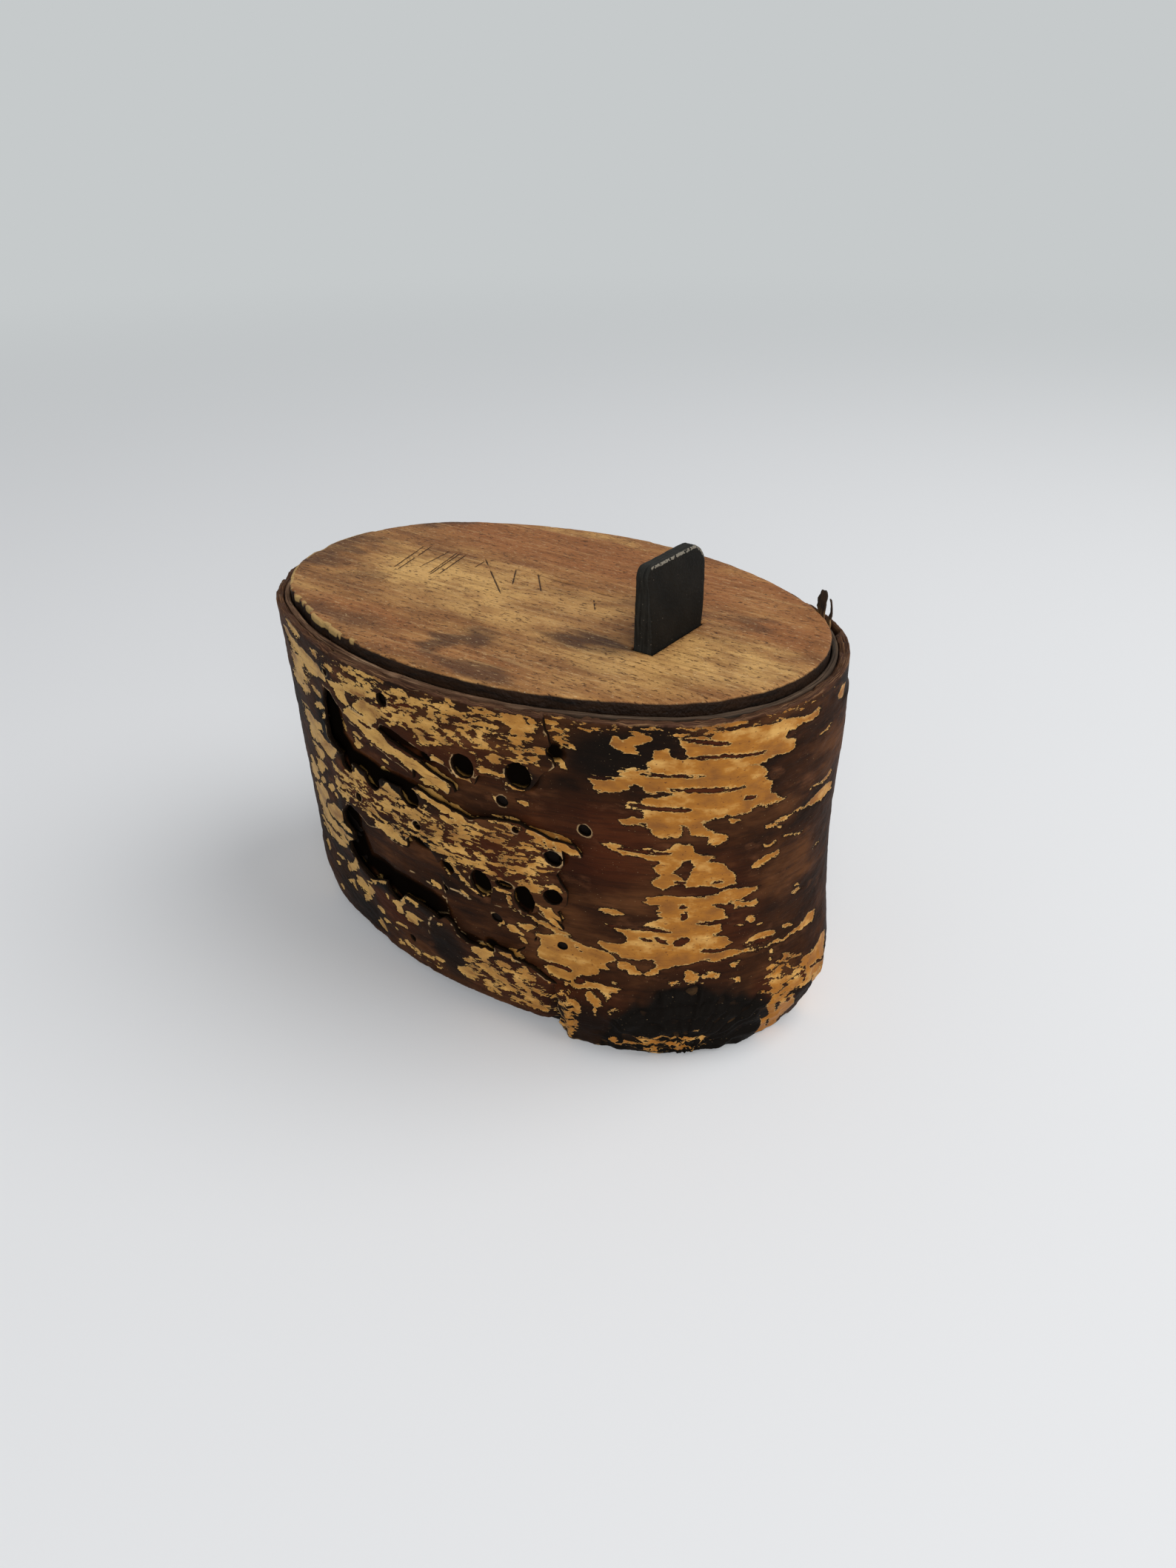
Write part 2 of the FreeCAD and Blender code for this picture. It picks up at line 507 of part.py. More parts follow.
# ---------------------------------------------------------------- the leather tab and its peg
def make_handle_tab():
    body = new_body("handle_tab")
    outline = new_sketch(body, "tab_outline", "YZ_Plane")
    near, far, board = size("tab_near_y"), size("tab_far_y"), size("lid_top")
    low, high = board - size("lid_thickness") - size("tab_below_lid"), board + size("tab_above_lid")
    near_round, far_round = size("tab_near_round"), size("tab_far_round")
    # Above the lid the far edge leans out to a tangent with the far corner's arc.
    far_middle = FreeCAD.Vector(far + size("tab_flare") - far_round, high - far_round, 0)
    towards = far_middle - FreeCAD.Vector(far, board, 0)
    lean = math.atan2(towards.y, towards.x) - math.asin(far_round / towards.Length)
    reach = math.sqrt(towards.Length ** 2 - far_round ** 2)
    touch = (far + reach * math.cos(lean), board + reach * math.sin(lean))
    far_corner = Part.Circle(far_middle, UP, far_round)
    near_corner = Part.Circle(FreeCAD.Vector(near + near_round, high - near_round, 0), UP, near_round)
    sides = [
        line((near, low), (far, low)),
        line((far, low), (far, board)),
        line((far, board), touch),
        Part.ArcOfCircle(far_corner, lean - math.pi / 2, math.pi / 2),
        line((far_middle.x, high), (near + near_round, high)),
        Part.ArcOfCircle(near_corner, math.pi / 2, math.pi),
        line((near, high - near_round), (near, low)),
    ]
    for side in sides:
        outline.addGeometry(side, False)
    for first, second in ((0, 1), (1, 2), (6, 0)):
        outline.addConstraint(Sketcher.Constraint("Coincident", first, 2, second, 1))
    for first in range(2, 6):
        outline.addConstraint(Sketcher.Constraint("Tangent", first, 2, first + 1, 1))
    for flat in (0, 4):
        outline.addConstraint(Sketcher.Constraint("Horizontal", flat))
    for upright in (1, 6):
        outline.addConstraint(Sketcher.Constraint("Vertical", upright))
    datums = [
        (Sketcher.Constraint("Radius", 3, far_round), "Sizes.tab_far_round"),
        (Sketcher.Constraint("Radius", 5, near_round), "Sizes.tab_near_round"),
        (Sketcher.Constraint("DistanceX", -1, 1, 0, 1, near), "Sizes.tab_near_y"),
        (Sketcher.Constraint("DistanceX", -1, 1, 0, 2, far), "Sizes.tab_far_y"),
        (Sketcher.Constraint("DistanceX", -1, 1, 3, 3, far_middle.x),
         "Sizes.tab_far_y + Sizes.tab_flare - Sizes.tab_far_round"),
        (Sketcher.Constraint("DistanceY", -1, 1, 0, 1, low), f"{LID_BOTTOM} - Sizes.tab_below_lid"),
        (Sketcher.Constraint("DistanceY", -1, 1, 1, 2, board), "Sizes.lid_top"),
        (Sketcher.Constraint("DistanceY", -1, 1, 4, 1, high), "Sizes.lid_top + Sizes.tab_above_lid"),
    ]
    for constraint, expression in datums:
        index = outline.addConstraint(constraint)
        outline.setExpression(f"Constraints[{index}]", expression)
    outline.setExpression("AttachmentOffset.Base.z", "Sizes.tab_x")
    strap = body.newObject("PartDesign::Pad", "strap")
    strap.Profile = outline
    strap.Midplane = True
    strap.setExpression("Length", "Sizes.tab_thickness")
    doc.recompute()
    faces = [index for index, face in enumerate(strap.Shape.Faces, start=1)
             if abs(abs(face.normalAt(0, 0).x) - 1) < 0.001]
    rounding = body.newObject("PartDesign::Fillet", "strap_rounding")
    rounding.Base = (strap, [f"Face{index}" for index in faces])
    rounding.setExpression("Radius", "Sizes.tab_edge_round")
    hole = new_sketch(body, "pin_hole", "YZ_Plane")
    middle = (near + far) / 2
    height = size("lid_top") - size("lid_thickness") - size("pin_drop")
    hole.addGeometry(Part.Circle(FreeCAD.Vector(middle, height, 0), UP, size("pin_radius")), False)
    for constraint, expression in [
        (Sketcher.Constraint("Radius", 0, size("pin_radius")), "Sizes.pin_radius + Sizes.peg_clearance"),
        (Sketcher.Constraint("DistanceX", -1, 1, 0, 3, middle), "(Sizes.tab_near_y + Sizes.tab_far_y) / 2"),
        (Sketcher.Constraint("DistanceY", -1, 1, 0, 3, height), f"{LID_BOTTOM} - Sizes.pin_drop"),
    ]:
        index = hole.addConstraint(constraint)
        hole.setExpression(f"Constraints[{index}]", expression)
    hole.setExpression("AttachmentOffset.Base.z", "Sizes.tab_x")
    cut_sketch(body, hole, midplane=True)
    return body


def make_tab_peg():
    body = new_body("tab_peg")
    rod = body.newObject("PartDesign::AdditiveCylinder", "rod")
    rod.AttachmentSupport = [(origin_plane(body, "YZ_Plane"), "")]
    rod.MapMode = "FlatFace"
    rod.setExpression("Radius", "Sizes.pin_radius")
    rod.setExpression("Height", "Sizes.pin_length")
    rod.setExpression("AttachmentOffset.Base.x", "(Sizes.tab_near_y + Sizes.tab_far_y) / 2")
    rod.setExpression("AttachmentOffset.Base.y", f"{LID_BOTTOM} - Sizes.pin_drop")
    rod.setExpression("AttachmentOffset.Base.z", "Sizes.tab_x - Sizes.pin_length / 2")
    doc.recompute()
    ends = [f"Edge{index}" for index, edge in enumerate(rod.Shape.Edges, start=1)
            if edge.Closed and edge.BoundBox.XLength < 0.01]
    chamfer = body.newObject("PartDesign::Chamfer", "rod_chamfer")
    chamfer.Base = (rod, ends)
    chamfer.setExpression("Size", "Sizes.pin_chamfer")
    return body


# ---------------------------------------------------------------- torn strips standing in the gap at the
# rim
def stand_in_gap(body, along):
    """Places a strip modelled about the origin (+X outward, +Z up) in the gap, leaning as the wall leans."""
    inset = size("wrap_thickness") + size("bark_gap") / 2
    top, heading = wall_point(along, size("rim_height"), inset)
    below, _ = wall_point(along, size("rim_height") - size("strip_below_rim"), inset)
    outward = FreeCAD.Vector(math.cos(math.radians(heading)), math.sin(math.radians(heading)), 0)
    lean = math.degrees(math.atan2((top - below).dot(outward), size("strip_below_rim")))
    turn = FreeCAD.Rotation(UP, heading) * FreeCAD.Rotation(FreeCAD.Vector(0, 1, 0), lean)
    body.Placement = FreeCAD.Placement(top, turn)


def make_rim_strip_wide():
    body = new_body("rim_strip_wide")
    outline = new_sketch(body, "wide_outline", "YZ_Plane")
    half, low = size("wide_strip_width") / 2, -size("strip_below_rim")
    shoulder = size("wide_strip_rise") - half
    outline.addGeometry(line((-half, low), (half, low)), False)
    outline.addGeometry(line((half, low), (half, shoulder)), False)
    crown = Part.Circle(FreeCAD.Vector(0, shoulder, 0), UP, half)
    outline.addGeometry(Part.ArcOfCircle(crown, 0, math.pi), False)
    outline.addGeometry(line((-half, shoulder), (-half, low)), False)
    outline.addConstraint(Sketcher.Constraint("Coincident", 0, 2, 1, 1))
    outline.addConstraint(Sketcher.Constraint("Tangent", 1, 2, 2, 1))
    outline.addConstraint(Sketcher.Constraint("Tangent", 2, 2, 3, 1))
    outline.addConstraint(Sketcher.Constraint("Coincident", 3, 2, 0, 1))
    outline.addConstraint(Sketcher.Constraint("Horizontal", 0))
    outline.addConstraint(Sketcher.Constraint("Vertical", 1))
    outline.addConstraint(Sketcher.Constraint("PointOnObject", 2, 3, -2))
    for constraint, expression in [
        (Sketcher.Constraint("Radius", 2, half), "Sizes.wide_strip_width / 2"),
        (Sketcher.Constraint("DistanceY", -1, 1, 2, 3, shoulder),
         "Sizes.wide_strip_rise - Sizes.wide_strip_width / 2"),
        (Sketcher.Constraint("DistanceY", 0, 1, -1, 1, -low), "Sizes.strip_below_rim"),
    ]:
        index = outline.addConstraint(constraint)
        outline.setExpression(f"Constraints[{index}]", expression)
    blade = body.newObject("PartDesign::Pad", "wide_blade")
    blade.Profile = outline
    blade.Midplane = True
    blade.setExpression("Length", "Sizes.strip_thickness")
    stand_in_gap(body, size("wide_strip_along"))
    return body


def make_rim_strip_thin():
    """A narrow shred, thicker at its root and curling back to a point."""
    body = new_body("rim_strip_thin")
    outline = new_sketch(body, "thin_outline", "YZ_Plane")
    half, low = size("thin_strip_width") / 2, -size("strip_below_rim")
    bend, tip = (0.9, 3.6), (0.5, 6.3)
    add_polygon(outline, [(-half, low), (half, low), (half, 0.2), (bend[0] + 0.5, bend[1]), tip,
                          (bend[0] - 0.1, bend[1] + 0.2), (-half + 0.2, 1.0), (-half, 0.0)])
    blade = body.newObject("PartDesign::Pad", "thin_blade")
    blade.Profile = outline
    blade.Midplane = True
    blade.setExpression("Length", "Sizes.strip_thickness")
    stand_in_gap(body, size("thin_strip_along"))
    return body


# ---------------------------------------------------------------- build, test and export
MAKERS = [make_outer_bark, make_inner_bark, make_bottom_board, make_pegs, make_lid_board, make_handle_tab,
          make_tab_peg, make_rim_strip_wide, make_rim_strip_thin]
pieces = [make() for make in MAKERS]
doc.recompute()

for thing in doc.Objects:
    if "Invalid" in thing.State or "Error" in thing.State:
        raise RuntimeError(f"{thing.Label} failed: {thing.getStatusString()}")
for piece in pieces:
    if piece.Shape.isNull() or not piece.Shape.isValid():
        raise RuntimeError(f"{piece.Label} has no valid shape")

os.makedirs("parts", exist_ok=True)
for piece in pieces:
    piece.Shape.exportStep(f"parts/{piece.Label}.step")
    box = piece.Shape.optimalBoundingBox(False)
    print(f"{piece.Label}: {len(piece.Shape.Solids)} solids, {piece.Shape.Volume:.0f} mm3,",
          f"x {box.XMin:.1f}..{box.XMax:.1f}, y {box.YMin:.1f}..{box.YMax:.1f},",
          f"z {box.ZMin:.1f}..{box.ZMax:.1f}")
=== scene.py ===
import math

import bpy
import numpy as np
from mathutils import Matrix, Vector, kdtree
from mathutils.geometry import delaunay_2d_cdt


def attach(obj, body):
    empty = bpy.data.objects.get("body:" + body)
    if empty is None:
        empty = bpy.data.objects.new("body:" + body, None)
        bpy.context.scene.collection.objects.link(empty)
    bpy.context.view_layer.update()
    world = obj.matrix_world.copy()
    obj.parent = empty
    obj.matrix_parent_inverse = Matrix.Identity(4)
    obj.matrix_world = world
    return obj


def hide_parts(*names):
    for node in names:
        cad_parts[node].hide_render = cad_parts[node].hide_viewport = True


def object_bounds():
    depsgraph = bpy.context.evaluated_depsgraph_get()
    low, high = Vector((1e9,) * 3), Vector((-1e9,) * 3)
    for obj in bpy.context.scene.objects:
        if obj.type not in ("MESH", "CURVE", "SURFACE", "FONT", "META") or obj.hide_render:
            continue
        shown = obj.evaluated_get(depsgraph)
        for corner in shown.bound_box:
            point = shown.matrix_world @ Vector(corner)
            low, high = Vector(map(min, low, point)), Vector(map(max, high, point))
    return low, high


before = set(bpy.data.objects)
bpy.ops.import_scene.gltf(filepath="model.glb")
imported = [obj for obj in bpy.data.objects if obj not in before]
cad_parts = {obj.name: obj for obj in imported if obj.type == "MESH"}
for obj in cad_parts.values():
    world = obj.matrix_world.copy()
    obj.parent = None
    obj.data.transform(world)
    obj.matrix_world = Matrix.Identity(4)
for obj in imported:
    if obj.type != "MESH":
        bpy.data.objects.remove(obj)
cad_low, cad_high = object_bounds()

# An oval birch-bark box: a wrap of bark, locked at the front, over a bark liner, with a wooden lid, a leather
# tab and two torn strips of bark at the rim. Sizes are millimetres until a mesh is made. The frame is the CAD
# model's: +Z up, +X towards the tab, -Y the front, origin on the table under the middle of the box.
MM = 0.001

# ---------------------------------------------------------------- the wall
# Four-arc ovals of the wall's outside: height, half length, half width, end radius, shift in x and in y.
SECTIONS = [(0, 69.8, 39.6, 33.2, -0.65, -0.4), (12, 73, 42.1, 35.6, 0.55, -0.6),
            (30, 72.9, 47.2, 36.3, -1.85, 0.8), (86.8, 72.7, 49.8, 41, -2.15, 0)]
WAIST, RIM = 30.0, 86.8
WALL_EASE = 4.0  # how far above and below a height the wall's bends are rounded over
# Lengths of the rim's side and end arcs. Places along the wall are counted by them, from the front's middle.
FRONT_LENGTH, END_LENGTH = 111.96, 86.31
AROUND = 2 * (FRONT_LENGTH + END_LENGTH)
SEAM = AROUND / 2  # the place at the back where the two ends of the wrap meet
RIM_SLIP, SLIP_END = 1.5, 99.0  # how far a place at the front slips back at the rim, and where that ends
RIDE = 0.55  # how far the bands ride up over the tongues
WRAP, TONGUE = 1.3, 0.9  # thickness of the wrap, and of its tongues behind the bands
FOOT_LIFT = 2.4  # how far the bands' end of the wrap stops short of the table
FOLD_END = 34.8  # the place along the front where the wrap's free end stands up over the burl
# The burl over the wood's old knot, the right end's hip and its flare to the rim. Each has its rise, its
# place along the wall, its reach along, and its height and reach upwards.
BURL = (2.8, 47.5, 21.9, 5, 12)
HIP = (1.9, 98.3, 13, 14, 10)
FLARE = (0.8, 116, 16, 45, 30)


def oval_frame(half_length, half_width, end_radius):
    """The end arcs' middle, the side arcs' radius and middle, and the turn at which they meet."""
    reach = half_length - end_radius
    side_radius = (reach ** 2 + half_width ** 2 - end_radius ** 2) / (2 * (half_width - end_radius))
    drop = side_radius - half_width
    return reach, side_radius, drop, math.atan2(drop, reach)


def smooth(x):
    """The smooth step: 0 up to 0, 1 from 1 on, with no kink between."""
    x = np.clip(x, 0, 1)
    return x * x * (3 - 2 * x)


def section_point(section, arc, share):
    """The place and heading at a share of one of a section's four arcs."""
    _, half_length, half_width, end_radius, shift_x, shift_y = section
    reach, side_radius, drop, turn = oval_frame(half_length, half_width, end_radius)
    x = np.choose(arc, [0, reach, 0, -reach]) + shift_x
    y = np.choose(arc, [drop, 0, -drop, 0]) + shift_y
    radius = np.choose(arc, [side_radius, end_radius, side_radius, end_radius])
    start = np.choose(arc, [-math.pi + turn, -turn, turn, math.pi - turn])
    end = np.choose(arc, [-turn, turn, math.pi - turn, math.pi + turn])
    heading = start + (end - start) * share
    return np.stack([x + radius * np.cos(heading), y + radius * np.sin(heading), heading])


def swelling(w, z):
    """How far the wood's old knot and the right end stand proud of the ovals."""
    rise, along, reach, height, tall = BURL
    burl = rise * np.exp(-(np.maximum(w - along, 0) / reach) ** 2 - (np.maximum(z - height, 0) / tall) ** 2)
    burl = burl * smooth((w - FOLD_END) / 1.8)
    rise, along, reach, height, tall = HIP
    hip = rise * np.exp(-((w - along) / reach) ** 2 - ((z - height) / tall) ** 2)
    rise, along, reach, height, tall = FLARE
    flare = rise * np.exp(-((w - along) / reach) ** 2) * smooth((z - height) / tall)
    return burl + hip + flare


def wall(w, z, out):
    """Points of the wall: w along the rim from the middle of the front, at height z, out from the ovals."""
    w, z, out = np.broadcast_arrays(*(np.asarray(value, float) for value in (w, z, out)))
    w = (w + AROUND / 2) % AROUND - AROUND / 2
    rise = np.clip((z - WAIST) / (RIM - WAIST), 0, 1)
    slip = RIM_SLIP * rise * np.clip(1 - w / SLIP_END, 0, 1) * np.clip(2 + w / SLIP_END, 0, 1)
    rest = (w - slip + FRONT_LENGTH / 2) % AROUND
    starts = np.array([0, FRONT_LENGTH, FRONT_LENGTH + END_LENGTH, 2 * FRONT_LENGTH + END_LENGTH])
    arc = np.searchsorted(starts, rest, side="right") - 1
    share = (rest - starts[arc]) / np.array([FRONT_LENGTH, END_LENGTH, FRONT_LENGTH, END_LENGTH])[arc]
    heights = np.array([section[0] for section in SECTIONS])
    spots = np.array([section_point(section, arc, share) for section in SECTIONS])

    def straight(height):
        lower = np.clip(np.searchsorted(heights, height, side="right") - 1, 0, len(heights) - 2)
        mix = (height - heights[lower]) / (heights[lower + 1] - heights[lower])
        low = np.take_along_axis(spots, lower[None, None], 0)[0]
        high = np.take_along_axis(spots, lower[None, None] + 1, 0)[0]
        return low + (high - low) * mix

    x, y, heading = (straight(z - WALL_EASE) + 2 * straight(z) + straight(z + WALL_EASE)) / 4
    return np.stack([x + out * np.cos(heading), y + out * np.sin(heading), z], -1)


# ---------------------------------------------------------------- seeded noise on a plane
LATTICE = 256
OCTAVE_SHIFT = 7.3  # moves each octave along, so that their lattices don't line up
NOISE_GAIN = 1.6  # brings layered noise back to about -1 to 1


def lattice(u, v, seed):
    """Smooth noise from -1 to 1 with one random value at each whole number. It repeats after LATTICE."""
    table = np.random.default_rng(seed).uniform(-1, 1, (LATTICE, LATTICE))
    iu, iv = np.floor(u).astype(int), np.floor(v).astype(int)
    fu, fv = smooth(u - iu), smooth(v - iv)
    rows = [[table[(iu + i) % LATTICE, (iv + j) % LATTICE] for i in (0, 1)] for j in (0, 1)]
    near, far = (left * (1 - fu) + right * fu for left, right in rows)
    return near * (1 - fv) + far * fv


def noise(u, v, size_u, size_v, seed, octaves=3):
    """Layered noise, about -1 to 1, with hills of the given sizes. Each octave halves size and strength.
    The seed tells one pattern from another."""
    total, weight, scale = 0, 0, 1
    for octave in range(octaves):
        shifted = u / size_u * scale + OCTAVE_SHIFT * octave
        total = total + lattice(shifted, v / size_v * scale, seed + octave) / scale
        weight += 1 / scale
        scale *= 2
    return total / weight * NOISE_GAIN


# ---------------------------------------------------------------- distances on a plane
def to_segment(u, v, a, b):
    """The distance to the line from a to b, and the share of the way along it."""
    du, dv = b[0] - a[0], b[1] - a[1]
    share = np.clip(((u - a[0]) * du + (v - a[1]) * dv) / max(du * du + dv * dv, 1e-9), 0, 1)
    return np.hypot(u - a[0] - share * du, v - a[1] - share * dv), share


def crossings(u, v, starts, ends):
    """True inside the outlines whose edges run from starts to ends."""
    flips = np.zeros(u.shape, bool)
    for (au, av), (bu, bv) in zip(starts, ends):
        if av != bv:
            flips ^= ((av > v) != (bv > v)) & (u < (bu - au) * (v - av) / (bv - av) + au)
    return flips


def inside(u, v, corners):
    """True inside one closed outline."""
    return crossings(u, v, corners, corners[1:] + corners[:1])


def in_polygon(u, v, corners):
    """Signed distance to an outline, positive inside."""
    away = np.full(u.shape, 1e9)
    for a, b in zip(corners, corners[1:] + corners[:1]):
        away = np.minimum(away, to_segment(u, v, a, b)[0])
    return np.where(inside(u, v, corners), away, -away)


def in_stroke(u, v, stroke):
    """Signed distance to a stroke of bark: start, end and half height, pointed a little at both ends."""
    u0, v0, u1, v1, half = stroke
    away, share = to_segment(u, v, (u0, v0), (u1, v1))
    return half * (0.45 + 2.2 * share * (1 - share)) - away


# ---------------------------------------------------------------- meshes
def flat_mesh(loop, holes, points):
    """Triangulates the loop's inside, less the holes, over the inner points: 2-D points and triangles."""
    corners, edges = [Vector(point) for point in points], []
    for line in [loop] + holes:
        first = len(corners)
        corners += [Vector(corner) for corner in line]
        edges += [(first + k, first + (k + 1) % len(line)) for k in range(len(line))]
    verts, _, faces, *_ = delaunay_2d_cdt(corners, edges, [], 0, 1e-5, False)
    verts = np.array([tuple(v) for v in verts])
    faces = np.array(faces)
    middle = verts[faces].mean(1)
    keep = inside(middle[:, 0], middle[:, 1], loop)
    for hole in holes:
        keep &= ~inside(middle[:, 0], middle[:, 1], hole)
    faces = faces[keep]
    used, faces = np.unique(faces, return_inverse=True)
    return verts[used], faces.reshape(-1, 3)


def rim_edges(faces):
    """The directed edges that only one triangle has."""
    pairs = np.concatenate([faces[:, [0, 1]], faces[:, [1, 2]], faces[:, [2, 0]]])
    key = pairs.min(1) * (faces.max() + 1) + pairs.max(1)
    _, first, count = np.unique(key, return_index=True, return_counts=True)
    return pairs[first[count == 1]]


JITTER = 0.16  # how far a grid's points drift, in steps


def spaced_grid(box, step, spare, keep_out):
    """Points over a box, step apart along u and v, jittered, none nearer than spare to keep_out."""
    (u0, v0), (u1, v1) = box
    us, vs = np.meshgrid(np.arange(u0, u1, step[0]), np.arange(v0, v1, step[1]))
    us[::2] += step[0] / 2
    drift = np.random.default_rng(5).uniform(-JITTER, JITTER, (2,) + us.shape)
    us, vs = us + drift[0] * step[0], vs + drift[1] * step[1]
    us, vs = us.ravel(), vs.ravel()
    near = kdtree.KDTree(len(keep_out))
    for index, (u, v) in enumerate(keep_out):
        near.insert((u, v, 0), index)
    near.balance()
    free = [near.find((u, v, 0))[2] > spare for u, v in zip(us, vs)]
    return np.stack([us, vs], 1)[np.array(free)]


def finely(loop, step):
    """The same outline with points about step apart."""
    points = []
    for (au, av), (bu, bv) in zip(loop, loop[1:] + loop[:1]):
        count = max(1, round(math.hypot(bu - au, bv - av) / step))
        points += [(au + (bu - au) * k / count, av + (bv - av) * k / count) for k in range(count)]
    return points


def ragged(loop, step, size, amount, seed):
    """An outline redrawn with points step apart, each pushed sideways by noise of that size and amount."""
    points = np.array(finely(loop, step))
    ahead = np.roll(points, -1, 0) - np.roll(points, 1, 0)
    ahead /= np.maximum(np.hypot(*ahead.T), 1e-6)[:, None]
    push = noise(points[:, 0], points[:, 1], size, size, seed, 2) * amount
    points += np.stack([-ahead[:, 1], ahead[:, 0]], 1) * push[:, None]
    return [tuple(point) for point in points.tolist()]


def disc(u, v, radius_u, radius_v=None, count=14):
    """The outline of a round or oval hole."""
    radius_v = radius_v or radius_u
    turns = [math.tau * k / count for k in range(count)]
    return [(u + radius_u * math.cos(turn), v + radius_v * math.sin(turn)) for turn in turns]


def new_mesh(name, points, faces, sharp=()):
    """A smooth-shaded object from points in millimetres. sharp lists vertex pairs whose edges stay crisp."""
    mesh = bpy.data.meshes.new(name)
    mesh.from_pydata((np.asarray(points) * MM).tolist(), [], [list(map(int, face)) for face in faces])
    mesh.polygons.foreach_set("use_smooth", np.ones(len(mesh.polygons), bool))
    if len(sharp):
        ends = np.zeros(len(mesh.edges) * 2, int)
        mesh.edges.foreach_get("vertices", ends)
        ends = np.sort(ends.reshape(-1, 2), 1)
        wanted = np.sort(np.asarray(sharp), 1)
        many = len(mesh.vertices) + 1
        crisp = np.isin(ends[:, 0] * many + ends[:, 1], wanted[:, 0] * many + wanted[:, 1])
        mesh.edges.foreach_set("use_edge_sharp", crisp)
    piece = bpy.data.objects.new(name, mesh)
    bpy.context.scene.collection.objects.link(piece)
    return piece


def set_numbers(piece, name, values):
    """Gives each point of a piece a number that its material reads."""
    field = piece.data.attributes.new(name, "FLOAT", "POINT")
    field.data.foreach_set("value", np.asarray(values, np.float32))


def set_vectors(piece, name, values):
    """Gives each point of a piece its coordinates for patterns."""
    field = piece.data.attributes.new(name, "FLOAT_VECTOR", "POINT")
    field.data.foreach_set("vector", np.asarray(values, np.float32).ravel())


def make_slab(name, loop, holes, fine, coarse, place, rows, sharp_from=math.inf):
    """A plate over an outline: a front face over the fine points, a back face over the coarse ones, and rows
    of points round each edge.

    place(u, v, share, away) gives the points: share is 1 on the front and 0 on the back, and away is the
    distance from the front's outline. rows holds each edge row's share and how far it stands out past that
    outline. The outline is crisp where u is further from 0 than sharp_from."""
    flat, faces = flat_mesh(loop, holes, fine)
    rim = rim_edges(faces)
    rim_ids, ring = np.unique(rim, return_inverse=True)
    ring = ring.reshape(-1, 2)
    tree = kdtree.KDTree(len(rim_ids))
    for index, (u, v) in enumerate(flat[rim_ids]):
        tree.insert((u, v, 0), index)
    tree.balance()
    away = np.array([tree.find((u, v, 0))[2] for u, v in flat])
    step = flat[rim[:, 1]] - flat[rim[:, 0]]
    outward = np.zeros((len(rim_ids), 2))
    for end in (0, 1):
        np.add.at(outward, ring[:, end], np.stack([step[:, 1], -step[:, 0]], 1))
    outward /= np.maximum(np.hypot(*outward.T), 1e-9)[:, None]
    spots = [flat] + [flat[rim_ids] + outward * push for _, push in rows]
    shares = [np.ones(len(flat))] + [np.full(len(rim_ids), share) for share, _ in rows]
    corners = [Vector(point) for point in spots[-1].tolist() + coarse]
    verts, _, back, origin, *_ = delaunay_2d_cdt(corners, ring.tolist(), [], 0, 1e-6, True)
    landed = {source: index for index, sources in enumerate(origin) for source in sources}
    landed = np.array([landed[k] for k in range(len(rim_ids))])
    verts, back = np.array([tuple(v) for v in verts]), np.array(back)
    ends = spots[-1][ring]
    back = back[crossings(*verts[back].mean(1).T, ends[:, 0], ends[:, 1])]
    used = np.union1d(back, landed)
    back, landed = np.searchsorted(used, back), np.searchsorted(used, landed)
    spots[-1], shares[-1] = verts[used], np.zeros(len(used))
    firsts = np.cumsum([0] + [len(spot) for spot in spots])
    lines = [rim_ids] + [first + np.arange(len(rim_ids)) for first in firsts[1:-2]]
    lines.append(firsts[-2] + landed)
    tris = [faces, back[:, ::-1] + firsts[-2]]
    a, b = ring.T
    for upper, lower in zip(lines, lines[1:]):
        tris += [np.stack([upper[b], upper[a], lower[a]], 1), np.stack([upper[b], lower[a], lower[b]], 1)]
    u, v = np.concatenate(spots).T
    share = np.concatenate(shares)
    away = np.concatenate([away, np.zeros(len(u) - len(away))])
    crisp = rim[(np.abs(flat[rim][:, :, 0]) > sharp_from).all(1)]
    piece = new_mesh(name, place(u, v, share, away), np.concatenate(tris), crisp)
    return piece, u, v, share, away


def dress(piece, body, nodes, material):
    """Gives a piece its material, the body it rides on and the nodes it stands for."""
    piece.data.materials.append(material)
    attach(piece, body)
    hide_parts(*nodes)


# ---------------------------------------------------------------- materials: helpers
def srgb(code):
    """A linear colour from an sRGB hex code."""
    parts = [int(code[k:k + 2], 16) / 255 for k in (1, 3, 5)]
    return tuple(p / 12.92 if p <= 0.04045 else ((p + 0.055) / 1.055) ** 2.4 for p in parts) + (1.0,)


MIX_MASK, MIX_UNDER, MIX_OVER, MIX_COLOUR = 0, 6, 7, 2  # a mix node's sockets for colours, and its output
ATTRIBUTE_NUMBER = 2
FIRST_OUTPUT = {"ShaderNodeMix": MIX_COLOUR, "ShaderNodeAttribute": ATTRIBUTE_NUMBER}  # elsewhere it is 0


def add_node(material, kind, settings=None, inputs=None, stops=()):
    """Adds a node. settings are its own values. inputs are socket values, sRGB codes, nodes or pairs of a
    node and an output. stops are a ramp's places with an sRGB code or a grey value each."""
    node = material.node_tree.nodes.new(kind)
    for key, value in (settings or {}).items():
        setattr(node, key, value)
    for key, value in (inputs or {}).items():
        if isinstance(value, bpy.types.Node):
            value = (value, FIRST_OUTPUT.get(value.bl_idname, 0))
        if isinstance(value, tuple) and isinstance(value[0], bpy.types.Node):
            material.node_tree.links.new(value[0].outputs[value[1]], node.inputs[key])
        else:
            node.inputs[key].default_value = srgb(value) if isinstance(value, str) else value
    for index, (place, colour) in enumerate(stops):
        element = node.color_ramp.elements[index] if index < 2 else node.color_ramp.elements.new(1.0)
        element.position = place
        element.color = srgb(colour) if isinstance(colour, str) else (colour, colour, colour, 1.0)
    return node


